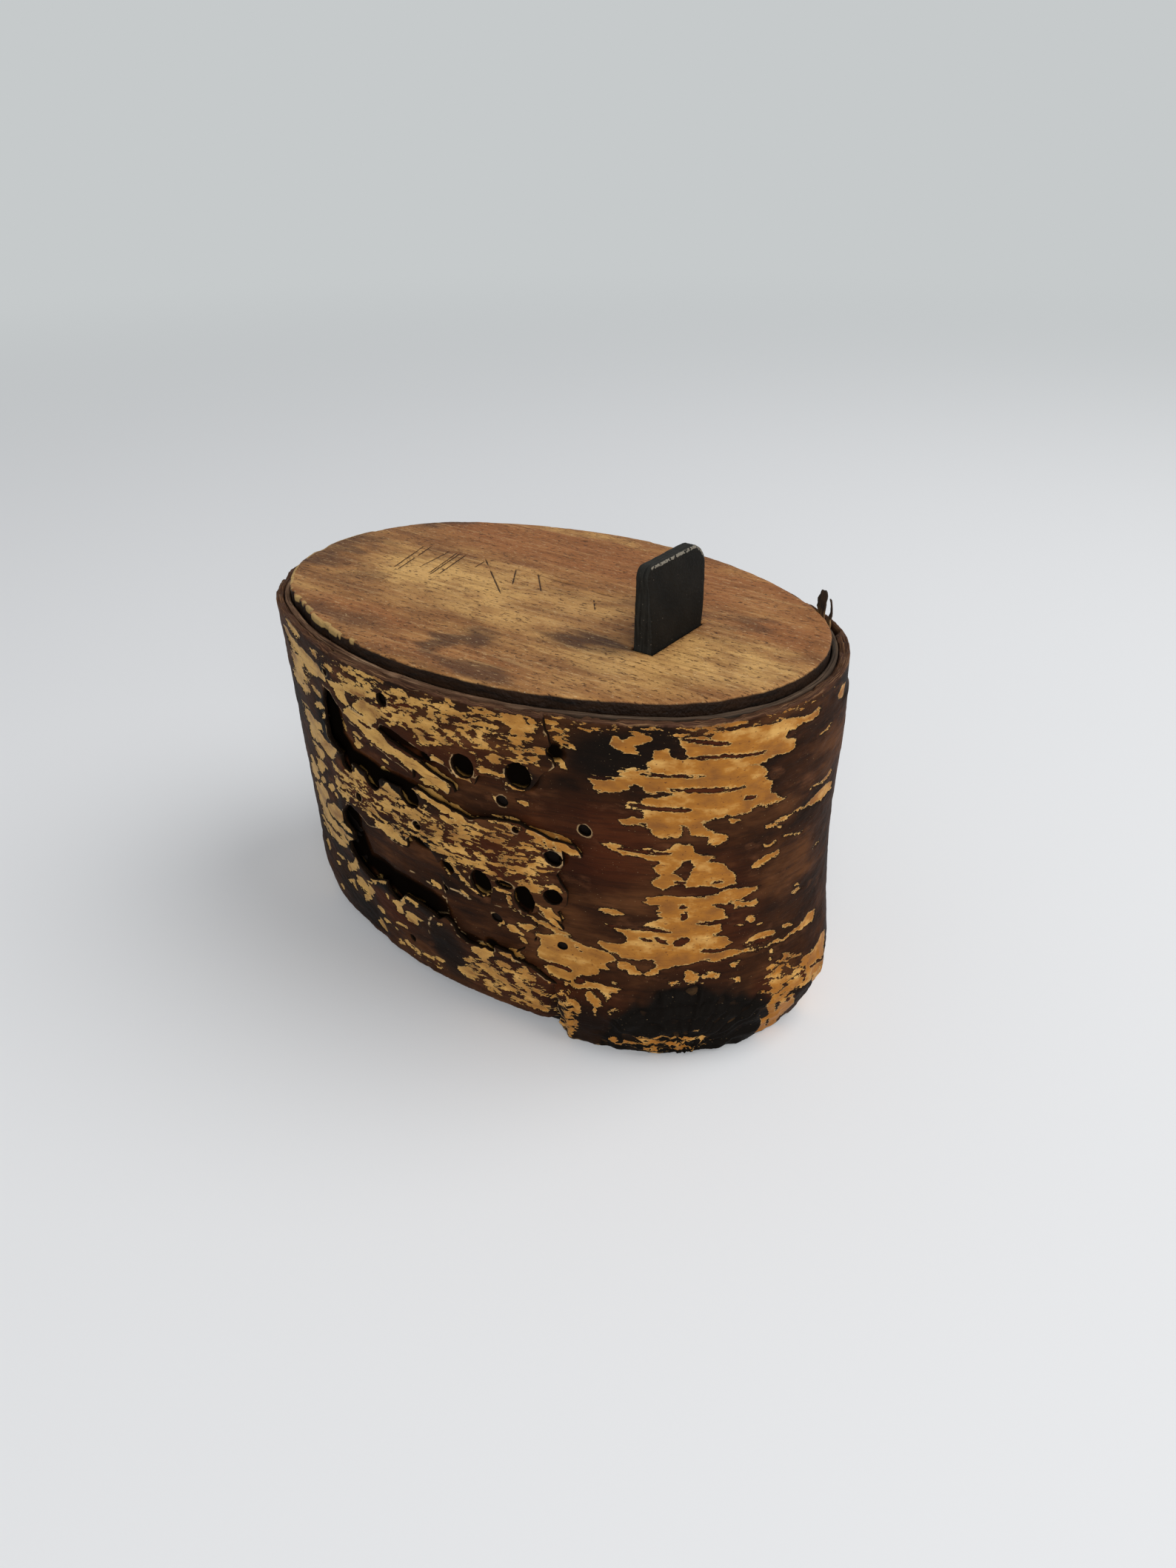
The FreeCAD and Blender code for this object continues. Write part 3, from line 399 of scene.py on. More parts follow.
def start_material(name, coordinates, patterns, marks):
    """A new material and its named nodes. coordinates is the point attribute in millimetres that the patterns
    follow, or None for the object's own. patterns gives each noise its size in millimetres three ways and its
    detail. marks are number attributes."""
    material = bpy.data.materials.new(name)
    material.use_nodes = True
    material.node_tree.nodes.clear()
    found = {mark: add_node(material, "ShaderNodeAttribute", {"attribute_name": mark}) for mark in marks}
    if coordinates:
        drawn = add_node(material, "ShaderNodeAttribute", {"attribute_name": coordinates})
        place, unit = (drawn, "Vector"), 1
    else:
        place, unit = (add_node(material, "ShaderNodeTexCoord"), "Object"), MM
    for key, (size, detail) in patterns.items():
        scaled = add_node(material, "ShaderNodeMapping", {}, {
            "Vector": place, "Scale": [1 / length / unit for length in size]})
        found[key] = add_node(material, "ShaderNodeTexNoise", {}, {
            "Vector": scaled, "Scale": 1.0, "Detail": detail, "Roughness": 0.6})
    return material, found


def lay(material, base, layers):
    """Lays colours over a base. A layer is what it follows, the stops of its strength and its colour."""
    for source, stops, over in layers:
        mask = add_node(material, "ShaderNodeValToRGB", {}, {0: source}, stops)
        base = add_node(material, "ShaderNodeMix", {"data_type": "RGBA"},
                        {MIX_MASK: mask, MIX_UNDER: base, MIX_OVER: over})
    return base


def finish_material(material, finish, bumps):
    """Gives a material its shader. finish holds the shader's inputs. bumps holds each pattern's height, its
    depth in millimetres and its strength."""
    finish = dict(finish)
    for height, depth, strength in bumps:
        under = {"Normal": finish["Normal"]} if "Normal" in finish else {}
        finish["Normal"] = add_node(material, "ShaderNodeBump", {}, {
            "Height": height, "Distance": depth * MM, "Strength": strength, **under})
    shader = add_node(material, "ShaderNodeBsdfPrincipled", {}, finish)
    add_node(material, "ShaderNodeOutputMaterial", {}, {"Surface": shader})
    return material


# ---------------------------------------------------------------- camera, light and floor
FOCAL, FRAME_HEIGHT = 1599.94, 2117  # pixels
SENSOR = 36.0
CAMERA_PLACE = (159.05, -204.4, 192.5)
CAMERA_RIGHT, CAMERA_FORWARD = (0.8103, 0.5860, -0.0090), (-0.5081, 0.6948, -0.5089)
# Metres: the point that the lamps look at, half the floor, and where the floor starts and ends to fade.
LAMP_AIM = (0, 0, 0.04)
FLOOR_HALF, FADE_FROM, FADE_TO = 6.0, 0.25, 1.3
FLOOR_GLOW = 0.12
BACKDROP = "#C6CACB"


def add_camera():
    """A camera at its place, turned by its right and forward directions."""
    data = bpy.data.cameras.new("camera")
    data.sensor_fit = "VERTICAL"
    data.sensor_height = SENSOR
    data.lens = SENSOR * FOCAL / FRAME_HEIGHT
    data.clip_start, data.clip_end = 0.01, 20
    camera = bpy.data.objects.new("camera", data)
    bpy.context.scene.collection.objects.link(camera)
    right, forward = Vector(CAMERA_RIGHT), Vector(CAMERA_FORWARD)
    up = right.cross(forward).normalized()
    right = forward.cross(up).normalized()
    turn = Matrix((right, up, -forward.normalized())).transposed()
    camera.matrix_world = Matrix.Translation(Vector(CAMERA_PLACE) * MM) @ turn.to_4x4()
    bpy.context.scene.camera = camera


def add_lamp(name, place, size, power, colour):
    """A round soft lamp, with its place and its width in metres, that looks at the object."""
    data = bpy.data.lights.new(name, "AREA")
    data.shape = "DISK"
    data.size = size
    data.energy = power
    data.color = colour
    lamp = bpy.data.objects.new(name, data)
    lamp.location = place
    lamp.rotation_euler = (Vector(LAMP_AIM) - Vector(place)).to_track_quat("-Z", "Y").to_euler()
    bpy.context.scene.collection.objects.link(lamp)


def seen_rays(owner):
    """1 for what is seen itself or in gloss, and 0 for the light that falls on the object."""
    path = add_node(owner, "ShaderNodeLightPath")
    total = (path, "Is Camera Ray")
    for name in ("Is Glossy Ray", "Is Transmission Ray"):
        total = add_node(owner, "ShaderNodeMath", {"operation": "MAXIMUM"}, {0: total, 1: (path, name)})
    return total


def add_studio():
    """A key lamp from above behind, a fill from the front, and an even pale surrounding."""
    bpy.context.scene.view_settings.view_transform = "Standard"
    add_lamp("key_light", place=(0.60, 0.35, 1.05), size=1.1, power=8.5, colour=(1.0, 0.985, 0.96))
    add_lamp("front_fill", place=(0.85, -1.05, 0.55), size=1.0, power=10.0, colour=(1.0, 0.985, 0.97))
    world = bpy.data.worlds.new("studio")
    world.use_nodes = True
    world.node_tree.nodes.clear()
    bpy.context.scene.world = world
    soft = add_node(world, "ShaderNodeBackground", {}, {"Color": "#ECEEF0", "Strength": 0.36})
    pale = add_node(world, "ShaderNodeBackground", {}, {"Color": BACKDROP})
    mix = add_node(world, "ShaderNodeMixShader", {}, {0: seen_rays(world), 1: soft, 2: pale})
    add_node(world, "ShaderNodeOutputWorld", {}, {"Surface": mix})


def add_floor():
    """A plain pale cloth that fades into the backdrop's tone, so that no horizon shows."""
    material = bpy.data.materials.new("white_tablecloth")
    material.use_nodes = True
    material.node_tree.nodes.clear()
    seen = seen_rays(material)
    glow = add_node(material, "ShaderNodeMath", {"operation": "MULTIPLY"}, {0: seen, 1: FLOOR_GLOW})
    cloth = add_node(material, "ShaderNodeBsdfPrincipled", {}, {
        "Base Color": "#E3E5E8", "Roughness": 0.85, "Emission Color": "#E5E7EA", "Emission Strength": glow})
    place = add_node(material, "ShaderNodeTexCoord")
    reach = add_node(material, "ShaderNodeVectorMath", {"operation": "LENGTH"}, {0: (place, "Object")})
    far = add_node(material, "ShaderNodeMapRange", {"interpolation_type": "SMOOTHSTEP"}, {
        "Value": (reach, "Value"), "From Min": FADE_FROM, "From Max": FADE_TO})
    fade = add_node(material, "ShaderNodeMath", {"operation": "MULTIPLY"}, {0: far, 1: seen})
    backdrop = add_node(material, "ShaderNodeEmission", {}, {"Color": BACKDROP})
    mix = add_node(material, "ShaderNodeMixShader", {}, {0: fade, 1: cloth, 2: backdrop})
    add_node(material, "ShaderNodeOutputMaterial", {}, {"Surface": mix})
    corners = [(x * FLOOR_HALF, y * FLOOR_HALF, 0) for x, y in ((-1, -1), (1, -1), (1, 1), (-1, 1))]
    mesh = bpy.data.meshes.new("floor")
    mesh.from_pydata(corners, [], [(0, 1, 2, 3)])
    floor = bpy.data.objects.new("floor", mesh)
    floor.data.materials.append(material)
    bpy.context.scene.collection.objects.link(floor)


# ---------------------------------------------------------------- the wrap: outlines (along the rim, height)
UPPER_WINDOW = [(-30.5, 62), (-31, 66), (-30, 72), (-28, 76.2), (-25.2, 76.2), (-22.8, 74.4), (-20, 72.5),
                (-15, 70.3), (-10, 68.3), (-5, 66.8), (-0.2, 65.6), (1.6, 63.6), (1.5, 61.6), (-3.5, 59.4),
                (-9.8, 59.4), (-10.6, 58.4), (-16, 58.6), (-20.5, 59.3), (-25, 60)]
LOWER_WINDOW = [(-30.6, 38.4), (-30.2, 40.8), (-28, 43.2), (-25.6, 45.6), (-23.6, 46.2), (-21, 45.3),
                (-18.2, 43.6), (-16, 43.7), (-13, 44.7), (-10, 43.1), (-7.5, 42.7), (-4.6, 43.3),
                (-4.4, 45.6), (-2.6, 47.6), (0, 47.8), (2.4, 46), (3.6, 44.4), (5.2, 41.8), (9.8, 39.6),
                (15, 37.2), (17.4, 39.6), (17, 36), (20.6, 36.2), (22.4, 37.6), (24, 35.4), (27.6, 37.2),
                (26, 27), (20, 22), (15.5, 22.6), (12, 20.6), (7.2, 20.7), (5.2, 22.2), (4.6, 25.2),
                (3, 26.2), (0.4, 24.6), (-1.6, 26), (-4.4, 26.8), (-9.4, 27.2), (-12, 24.6), (-15.6, 28.2),
                (-20, 26.2), (-23, 25), (-28.8, 27.4), (-31, 29), (-30.2, 32), (-26.4, 34.6), (-25.8, 36.9)]
UPPER_SLOT = [(-8, 73), (-6.6, 74.6), (-3, 74.8), (0, 73.8), (3, 73), (6.2, 71.8), (6.6, 70), (5, 69.3),
              (1.5, 70.2), (-2, 71), (-6, 72)]
# The bands' bites: middle (along, height) and half sizes.
BITES = [(-22.6, 58.4, 2.6, 2.5), (-13.1, 58.2, 2.8, 3), (-0.9, 58.4, 2.9, 3), (6.4, 42.2, 2.1, 2.1),
         (15.2, 41.4, 2.7, 3.6), (20.9, 42.6, 2.2, 1.2), (25.1, 39.8, 2.5, 3.8), (31.6, 42, 2.2, 2.2),
         (15.2, 71.2, 2.9, 3), (28, 71.8, 3, 3.3), (5.6, 70.6, 1.8, 1.6), (33, 52.6, 2, 2.1),
         (36.2, 78.4, 1.7, 1.8), (-14, 26.2, 2.4, 3), (14.2, 22, 1.6, 1.5)]
# Punched holes through the bands, and those through the right end: middle and radius.
BAND_PUNCHES = [(25.7, 58.3, 0.9), (-5, 81, 1.7), (-19.8, 50.4, 1.2), (-0.2, 51, 1.2), (-15.4, 11.2, 1.2),
                (-26, 80.6, 1)]
TONGUE_PUNCHES = [(22.8, 64, 1.5), (6.2, 64, 1.2), (40.3, 60.4, 1.5), (16.7, 30.9, 1.4), (32, 27, 1.3),
                  (3.8, 34.8, 1)]
# The left end: round the bands' tips, then down the edge that lies under the right end at the foot.
BAND_TIPS = [(20, 87.6), (34.8, 87.6), (35.4, 79.6), (36, 75.4), (33, 73.2), (30, 69), (25, 68.2),
             (24.4, 70.4), (19, 70.4), (17.6, 67.8), (12.6, 68), (11.6, 70.2), (7.6, 70.6), (3.5, 69),
             (7, 67.2), (11.6, 65.6), (12.2, 64.2), (10.6, 63.2), (1.6, 66.4), (1, 62.2), (5, 60.4),
             (10, 59.3), (15, 58.2), (20, 59.4), (26.5, 60), (29.4, 58.8), (33.5, 57.2), (37.8, 56.6),
             (39, 54), (37.6, 53.6), (35.2, 54.8), (34.9, 51), (33, 48), (34.6, 43.6), (34.2, 40.4),
             (32, 38.2), (33, 35.2), (30.6, 36.4), (32.8, 33.4), (30.6, 34), (27.6, 37.2), (26, 27)]
BAND_FOOT = [(20, 22), (20.6, 20.6), (25, 19.4), (30, 16.6), (34, 14), (38.5, 12), (38.5, FOOT_LIFT)]
# The right end: its two tongues, then the free edge where it lies over the bottom band.
RIGHT_EDGE = [(28, 87.6), (28, 79.4), (-29, 79.4), (-33.8, 75), (-33.8, 59), (-29, 55), (34, 55), (34, 50),
              (-28.5, 50), (-33, 46), (-33, 27.5), (-29, 22), (2.6, 21), (7, 17.6), (16, 17.6), (28, 16.6),
              (31.4, 15.6), (33, 12.8), (32.4, 9.6), (33.8, 6.6), (33, 3.4), (34.6, 0.4)]

# ---------------------------------------------------------------- the wrap: where the pale layer shows
# Strokes of pale inner bark: start, end (along, height) and half height.
PALE_STROKES = [
    # Left of the bands' cuts.
    (-52, 81.5, -44, 81, 2), (-46, 81, -27.6, 78.6, 2.3), (-46, 76.6, -38, 78.2, 1.2),
    (-48, 75, -42, 74, 3.2), (-52, 69, -43, 72, 2.2), (-45, 69.6, -38.6, 70.4, 1.2),
    (-42.6, 74.8, -39.6, 73, 0.9), (-40, 75, -34, 76.4, 0.5), (-38, 85, -47, 86, 1),
    (-35.8, 72.6, -31.4, 72.4, 0.8), (-35, 68.2, -31, 69.6, 1.1), (-33, 66, -26, 68.2, 0.4),
    (-48, 63.4, -42, 64.2, 0.5), (-47, 60.6, -34.6, 62.8, 1.7), (-44, 57.8, -33, 59.6, 2),
    (-36, 57.6, -26.8, 59.4, 1.6), (-34, 56.2, -29, 57.4, 1.4), (-44, 56.4, -38, 57.6, 1.1),
    (-44.6, 54.2, -36.4, 54.2, 0.5), (-41.6, 52.8, -36.6, 54, 1.5), (-43, 50, -36, 50.6, 0.9),
    (-42.6, 47.6, -37.8, 50.4, 1.5), (-31.4, 49.6, -28, 50.6, 1.6), (-30, 47.2, -22, 47.6, 0.7),
    (-41, 44.2, -38.6, 45.8, 1.5), (-36, 45, -32, 46.2, 1.4), (-33, 44, -31, 44.6, 0.8),
    (-50, 46, -44, 46, 1.8), (-52, 42.6, -44, 43.4, 1.9), (-45, 39, -38.6, 41.6, 2.1),
    (-39, 36.2, -30.6, 40, 2.8), (-32, 36, -26.4, 36.9, 0.8), (-50, 37, -42, 38, 3),
    (-50, 33, -41, 34.6, 2.2), (-49, 30.6, -36, 33.4, 1.3), (-44, 30.8, -26.6, 34.6, 0.9),
    (-36, 30.6, -30.2, 31.8, 1), (-53, 26.6, -42, 28.6, 1.1), (-48, 25.4, -33, 29.6, 1.5),
    (-42, 18.6, -32, 24.4, 1), (-33, 23.8, -28.4, 27.4, 0.9), (-37.4, 16.4, -31, 19.6, 1.9),
    (-34, 16.2, -25.8, 20.6, 1.2), (-29, 19.6, -26, 20.6, 1.3), (-37.6, 12.4, -33, 15.6, 0.9),
    (-29.4, 13.8, -26, 15, 1.2), (-28.4, 10.4, -25.6, 11.2, 0.8), (-24.2, 10.8, -21.6, 10.9, 0.35),
    (-33.4, 7, -29.6, 6.8, 2), (-20.4, 13.2, -17.4, 13.8, 0.9), (-17, 19.4, -13, 23, 1.3),
    (-13.8, 18.6, -8.4, 21, 1.7), (-12.8, 22, -9.8, 27.2, 0.6), (-9.6, 26.4, -5, 26.4, 0.9),
    (-18.6, 21.8, -18, 23.6, 0.6), (-26.6, 22.6, -20, 26.6, 0.45), (-20, 26.4, -15.8, 28, 0.6),
    (-20.4, 7.2, -17.6, 7.8, 0.8), (-17.6, 6.6, -14.6, 7.4, 0.9), (-9.2, 8, -4.2, 8.6, 0.9),
    (-8.4, 20.6, -6, 20.9, 0.6), (-1.4, 22, 1.8, 24.2, 0.4), (-46, 14, -40, 16.4, 0.7),
    (-51, 17, -48, 17.6, 0.7), (-48, 19.6, -42, 21, 0.5), (-57, 19, -53, 20, 1.4), (-54, 24, -50, 25, 0.8),
    (-56, 7, -53.6, 7.8, 1.1), (-43, 13.8, -41, 14.6, 0.7),
    # Top band.
    (-24.6, 82.6, -22, 82.4, 0.8), (-25.6, 79, -21, 78.8, 0.9), (-22, 79, -18.6, 76.6, 1.8),
    (-19.6, 76, -17.6, 75.6, 1), (-18.6, 79.4, -9, 80.6, 1.3), (-18, 81.6, -7.4, 81, 1),
    (-15, 76.6, -4.8, 77.4, 1.8), (-5, 77.2, 4.8, 79.6, 1.4), (-18.6, 72.8, -8, 75.6, 2.1),
    (-14, 72.2, -4, 69.6, 2), (-5, 70, 11, 64.6, 1.9), (0, 78.6, 14, 79, 1.6), (-2, 81.4, 6, 83.4, 2.2),
    (0, 84.6, 8, 84.6, 1.3), (4, 76.4, 6, 75, 1.6), (-16, 84.4, -8, 84, 0.7), (-12, 86, -3, 85.4, 0.6),
    (2, 63.8, 6.6, 63.2, 0.9), (10.8, 83.6, 15.4, 84.4, 1.2), (9.8, 76.6, 11, 75.2, 1.3),
    (16.4, 81.4, 23.6, 82.6, 1.5), (20, 85, 24.4, 84.8, 0.9), (19.6, 77.6, 22.6, 77.2, 1.1),
    (21.4, 75, 24.4, 75.4, 0.8), (27.6, 85, 31.4, 83, 2.8), (28.6, 80.4, 30.4, 78.8, 2),
    (31, 78.4, 35.6, 78.8, 1), (26, 75.6, 32.6, 76.2, 0.9), (28.8, 74.2, 30, 73.2, 1.1),
    (19.4, 71.2, 24.2, 71.2, 1), (12.6, 69.4, 17, 68.4, 0.9), (24.8, 69, 28.8, 68.6, 0.6),
    (28.6, 68.8, 31, 72.4, 0.4), (6.8, 70, 10.4, 70.8, 1.1), (14, 78.4, 16, 77.2, 0.8),
    (12, 81, 15, 81.4, 0.6),
    # Middle band.
    (1.2, 61.4, 9, 59.4, 1.1), (7, 59.6, 15, 57, 1.3), (8.4, 56.6, 13, 56, 1.3),
    (15.2, 57, 17.8, 57.4, 0.9), (20, 59.4, 26.8, 59.6, 0.35), (18.4, 57, 24, 57.6, 0.35),
    (28.4, 58.6, 38.6, 54.4, 1.4), (28.8, 56.4, 33.6, 55.8, 1), (-20, 57, -16.8, 57.2, 2),
    (-10, 57, -4.6, 57, 2.2), (-24, 55.4, -17.6, 54.6, 1.3), (-30.6, 54.4, -22, 53.2, 1.1),
    (-20, 54, -15.4, 55.4, 0.8), (-16.6, 51.6, -12.6, 52.4, 0.9), (-10, 53, -7.6, 54.6, 2.2),
    (-6, 53.2, 2.8, 54.6, 2), (-2, 55.8, 2.6, 56.2, 0.8), (2.6, 57, 4.6, 58.4, 0.5),
    (-18, 49, -12.4, 48.2, 1.3), (-16.8, 47.2, -11, 46.4, 1.2), (-14, 45.2, -4.4, 44.4, 1.1),
    (-11.6, 46.4, -6.6, 46, 1.6), (-8.6, 51.2, -5.8, 50.6, 1.1), (-5.8, 48.6, 3, 49, 1.2),
    (-26.6, 50, -23.8, 50.4, 1), (5.4, 54, 8.8, 52, 1.4), (10, 53, 17, 54, 1.2), (9, 50.6, 12.4, 49.6, 1),
    (2.8, 46.8, 9, 45.6, 0.9), (11, 46.8, 17.6, 48.6, 1.9), (19.8, 44.4, 21, 43.8, 0.6),
    (3.4, 49.4, 9.8, 48.4, 0.9), (18, 45.8, 21.4, 48.8, 1.2), (23, 47.8, 28.6, 47.4, 1.7),
    (24.6, 44.4, 29, 44, 1.9), (19.4, 53.6, 21.8, 55.4, 0.6), (26, 53.6, 27.2, 51, 1),
    (28.4, 53, 33, 50.6, 0.8), (23, 50.6, 30.4, 50.4, 0.8), (19.4, 50, 22, 49.6, 0.8),
    (31.4, 45.4, 33.4, 44.2, 0.9), (27.4, 55.6, 30, 53.8, 0.8), (7, 43.2, 9.8, 42.6, 0.8),
    (9.8, 42, 11.6, 39.6, 0.7), (11.4, 39, 15.8, 37.4, 0.7), (16, 38.2, 17.8, 40.6, 0.7),
    (18.4, 41.2, 22.4, 40.8, 0.5), (22, 40.6, 22.4, 37.2, 0.6), (27.8, 39.2, 32.2, 34, 1),
    (30.2, 38.6, 32.6, 35.6, 0.8), (4.2, 40.4, 6, 38.6, 0.5),
    # Bottom band.
    (5, 14.6, 7.6, 14.2, 1.4), (2.6, 8.8, 8, 9, 2.1), (4.6, 11.4, 8.4, 12.6, 1.2),
    (9.6, 18.4, 14, 19.6, 1.9), (9.8, 16, 13.8, 17.2, 1.2), (11, 14, 20, 9.4, 2.4),
    (15.4, 17.6, 19.4, 16.4, 1.4), (16.8, 21.4, 22.6, 20.8, 1), (20.6, 16.2, 26, 17, 1.9),
    (24, 18.4, 26, 15, 1.6), (20.6, 13.2, 24.6, 11.6, 1.5), (22.4, 9.4, 27, 8, 2.2),
    (10.4, 7.4, 14.4, 6, 1.5), (18, 6, 29, 5.4, 1.1), (26.4, 12.6, 28.8, 11.8, 1.1),
    (27.2, 7.4, 29.2, 7.2, 1.2), (10, 9.4, 13.6, 8.6, 0.8), (12.6, 21.4, 13.6, 20.4, 1),
    (30, 12.4, 31.6, 10.6, 0.8),
    # Right end: streaks and chips.
    (-24.2, 68.6, -23.4, 66.6, 0.9), (-19.8, 66.6, -17, 67, 0.7), (-20.4, 64.2, -17.2, 64.6, 1.1),
    (-15, 66.2, -12.6, 67, 0.4), (-10.4, 61.4, -7.6, 61.6, 0.5), (-9.6, 63.8, -7.6, 64.2, 0.4),
    (0.2, 34, 2.6, 33.6, 0.7), (8, 35.4, 10.6, 34, 0.4), (17, 28.4, 18, 30.6, 0.7),
    (19.4, 29.4, 22.6, 28.6, 1.1), (21.6, 26.4, 23.2, 26.4, 0.9), (22.6, 31, 25.6, 30.6, 0.8),
    (17.6, 35.2, 25, 34.4, 0.25), (25, 34.4, 31, 31, 0.6), (28, 33.6, 33, 30.6, 0.6),
    (26.6, 65, 29, 64.6, 0.6), (20.8, 64.6, 21.4, 63.4, 0.5), (36, 77.2, 38.2, 75.2, 0.8),
    (37.6, 81.4, 40.6, 80.2, 0.7), (35.6, 85.4, 40, 83.6, 0.6), (36, 83.2, 38.4, 82.6, 0.4),
    (41.4, 40.8, 45.6, 39.9, 0.9), (43.2, 58, 53, 55.6, 0.8), (96, 60.2, 108, 59.4, 1.5),
    (80, 60.4, 97, 60.2, 0.35), (80, 59.6, 83.4, 59.2, 0.5), (84, 59, 86, 58.4, 0.3),
    (77, 51, 84.6, 52, 1.1), (80, 55.2, 84, 55, 0.3), (86, 55.2, 93, 54.6, 0.3), (98, 47.4, 102.4, 47, 0.3),
    (101, 63.8, 106, 63, 0.8), (95, 63.8, 101, 63.6, 0.3), (105.4, 82, 109, 82.8, 1.4),
    (96, 76.8, 102, 77.2, 0.25), (90, 40.8, 92, 40.6, 0.4), (90, 39, 94, 38.8, 0.4),
    (74.6, 36.8, 77.4, 36.4, 0.7), (72, 35.4, 74.2, 35.4, 0.4), (78.2, 34.6, 80, 34.4, 0.5),
    (75, 30.2, 83.6, 30.6, 1.2), (86.8, 31.4, 91, 30.4, 0.6), (71, 25.6, 74, 25.4, 0.5),
    (83.4, 25.8, 84.4, 25.4, 0.4), (82.6, 24.2, 84, 24, 0.3), (71.8, 63.8, 73.2, 63.4, 0.7),
    (84, 16.4, 82, 16, 0.4), (45, 25.6, 49.6, 23.6, 1.2), (51, 24, 54, 24.2, 0.8),
    (61, 24.4, 64, 22.6, 1.2), (64.6, 23.6, 69.4, 23.4, 0.7), (56.4, 22.8, 60, 22.2, 0.5),
    (44.4, 20.6, 46, 20.4, 0.5), (73, 21.8, 75, 21.4, 0.3), (46.6, 13.2, 49, 13.4, 0.7),
    (43, 13.6, 44, 11.8, 0.5), (40, 16, 44, 14.4, 1), (36, 13.4, 39, 11.2, 1.7), (35.6, 8.2, 38.4, 6, 1),
    (36, 10, 37, 2, 0.7), (34, 6, 35, 2, 0.7),
]
# Patches of the pale layer on the right end, drawn round. Each is a list of corners (along, height).
PALE_PATCHES = [
    [(60.5, 84.8), (66, 84.6), (67, 83.2), (69, 84.6), (73.4, 86), (74, 84.6), (80, 84.4), (90, 83),
     (96.4, 82.6), (95.6, 81.6), (90, 81.4), (86, 80.8), (85.4, 79.8), (88.4, 78.6), (88.2, 76.2),
     (83, 76.2), (78, 75.6), (76, 76), (81.2, 73.8), (80, 72.2), (81.6, 69.6), (81.6, 67.6), (86, 65.6),
     (82, 64.8), (77, 65), (65, 64.4), (66.6, 61.6), (70.6, 60.6), (71, 59.4), (69.4, 57.9), (65.4, 58.4),
     (66.4, 60.2), (62, 60.8), (61, 63.6), (60, 63.4), (59.6, 60.4), (55, 60), (53.4, 61.4), (52.6, 63.6),
     (49, 62.8), (48.2, 64.2), (50, 65), (52.4, 64.8), (53, 66.6), (49, 67.4), (50, 68), (53, 68.4),
     (52.2, 69.6), (54.6, 70.2), (60, 70.6), (59, 71.4), (54, 71.6), (52, 72.8), (50.8, 71.4), (44.2, 70.6),
     (43.6, 72), (42.4, 73.2), (44, 74.2), (50, 74.6), (48.4, 75.8), (52, 76.4), (55, 76.6), (54.2, 78),
     (56, 79), (56.2, 81), (59.4, 81.6), (59.6, 79.4), (62, 79.2), (62.4, 81), (61, 82.6)],
    [(46.8, 81.8), (49, 84.2), (51, 82.6), (52.6, 84.6), (55.6, 84.4), (55.4, 82.6), (52.4, 81.4),
     (53.2, 80), (50, 80.2)],
    [(46, 57), (52, 57.4), (53, 58), (56, 56.8), (59, 58.4), (62, 58), (62.6, 56.4), (65, 56.2), (67.4, 55),
     (66, 54), (69, 53), (70.4, 51.6), (72.4, 49.8), (71.8, 48.4), (73.4, 47.2), (69, 46.8), (65, 47.6),
     (60, 48), (60.4, 49.6), (63, 53), (62, 54), (59.6, 53.8), (57, 51.6), (59.4, 50.8), (59.8, 48.6),
     (57, 48), (55, 46.8), (53.8, 48), (53, 49.4), (54.6, 51), (53.4, 52.4), (55, 54.2), (50, 55.2)],
    [(50, 43.4), (51, 45), (56, 45.4), (66, 45.2), (70, 46), (75, 45.8), (78.6, 44.8), (75, 43.2),
     (72, 42.6), (74.6, 42.2), (78.6, 42), (79.4, 41), (78.6, 39.8), (75, 41), (71, 40.8), (71.6, 42),
     (68, 42.8), (65.6, 43), (68.8, 41.4), (68.4, 40), (69.6, 38.8), (67, 38), (62.4, 37.4), (64, 36.8),
     (68, 36.6), (68.6, 35.2), (65, 34), (69.4, 32.8), (72, 31), (68, 30.4), (62, 30), (69, 29.8),
     (74, 28.6), (86, 28), (95, 29.4), (100, 29.6), (102.4, 28.6), (101, 26.8), (94, 27.2), (91, 27.8),
     (86, 27.2), (78, 28), (71, 27.2), (62.6, 27.6), (61, 26.4), (57, 26.2), (54, 24.8), (51, 24.4),
     (53.6, 26), (52.4, 27.6), (46, 27.2), (42, 29.4), (40, 30.2), (40.4, 31.4), (45, 31.2), (46.8, 32.4),
     (45.6, 34.4), (44, 35.2), (41.2, 36.4), (43.6, 36.2), (50, 35.6), (54.8, 36), (51, 36.8), (49, 36.6),
     (52, 38.4), (54.6, 39), (53, 40.6), (53.6, 42.2)],
    [(25.8, 29.4), (28, 29), (31, 31), (34, 29.6), (37, 28.6), (41.6, 28.8), (44.6, 26), (42, 24.8),
     (44, 23.2), (41, 22.6), (40.6, 21), (38, 20.2), (37, 19), (44, 19.4), (49, 18.8), (46, 17.6),
     (44.6, 16), (43, 17.4), (38, 17), (35, 16), (32, 16.4), (29.8, 17.6), (27, 20), (30, 21.2),
     (26.4, 22.6), (26, 24.4), (27.8, 26.6)],
    [(84, 20.4), (86, 20.6), (88, 18), (88.2, 16), (90.6, 17.8), (94, 19.2), (92.8, 20.4), (100, 20.8),
     (108, 20.2), (110, 19), (106, 16.6), (100, 13.4), (96, 13.2), (90.4, 14.2), (93, 9.6), (95, 5),
     (92, 0), (86, 0), (84.4, 4), (84, 10), (85, 14)],
    [(87.4, 24.2), (88.6, 23.8), (89.6, 22.4), (93, 22), (91.6, 21.4), (87.6, 21.8)],
    [(98, 13), (104, 15), (112, 16), (122, 12), (120, 0), (101, 0)],
]
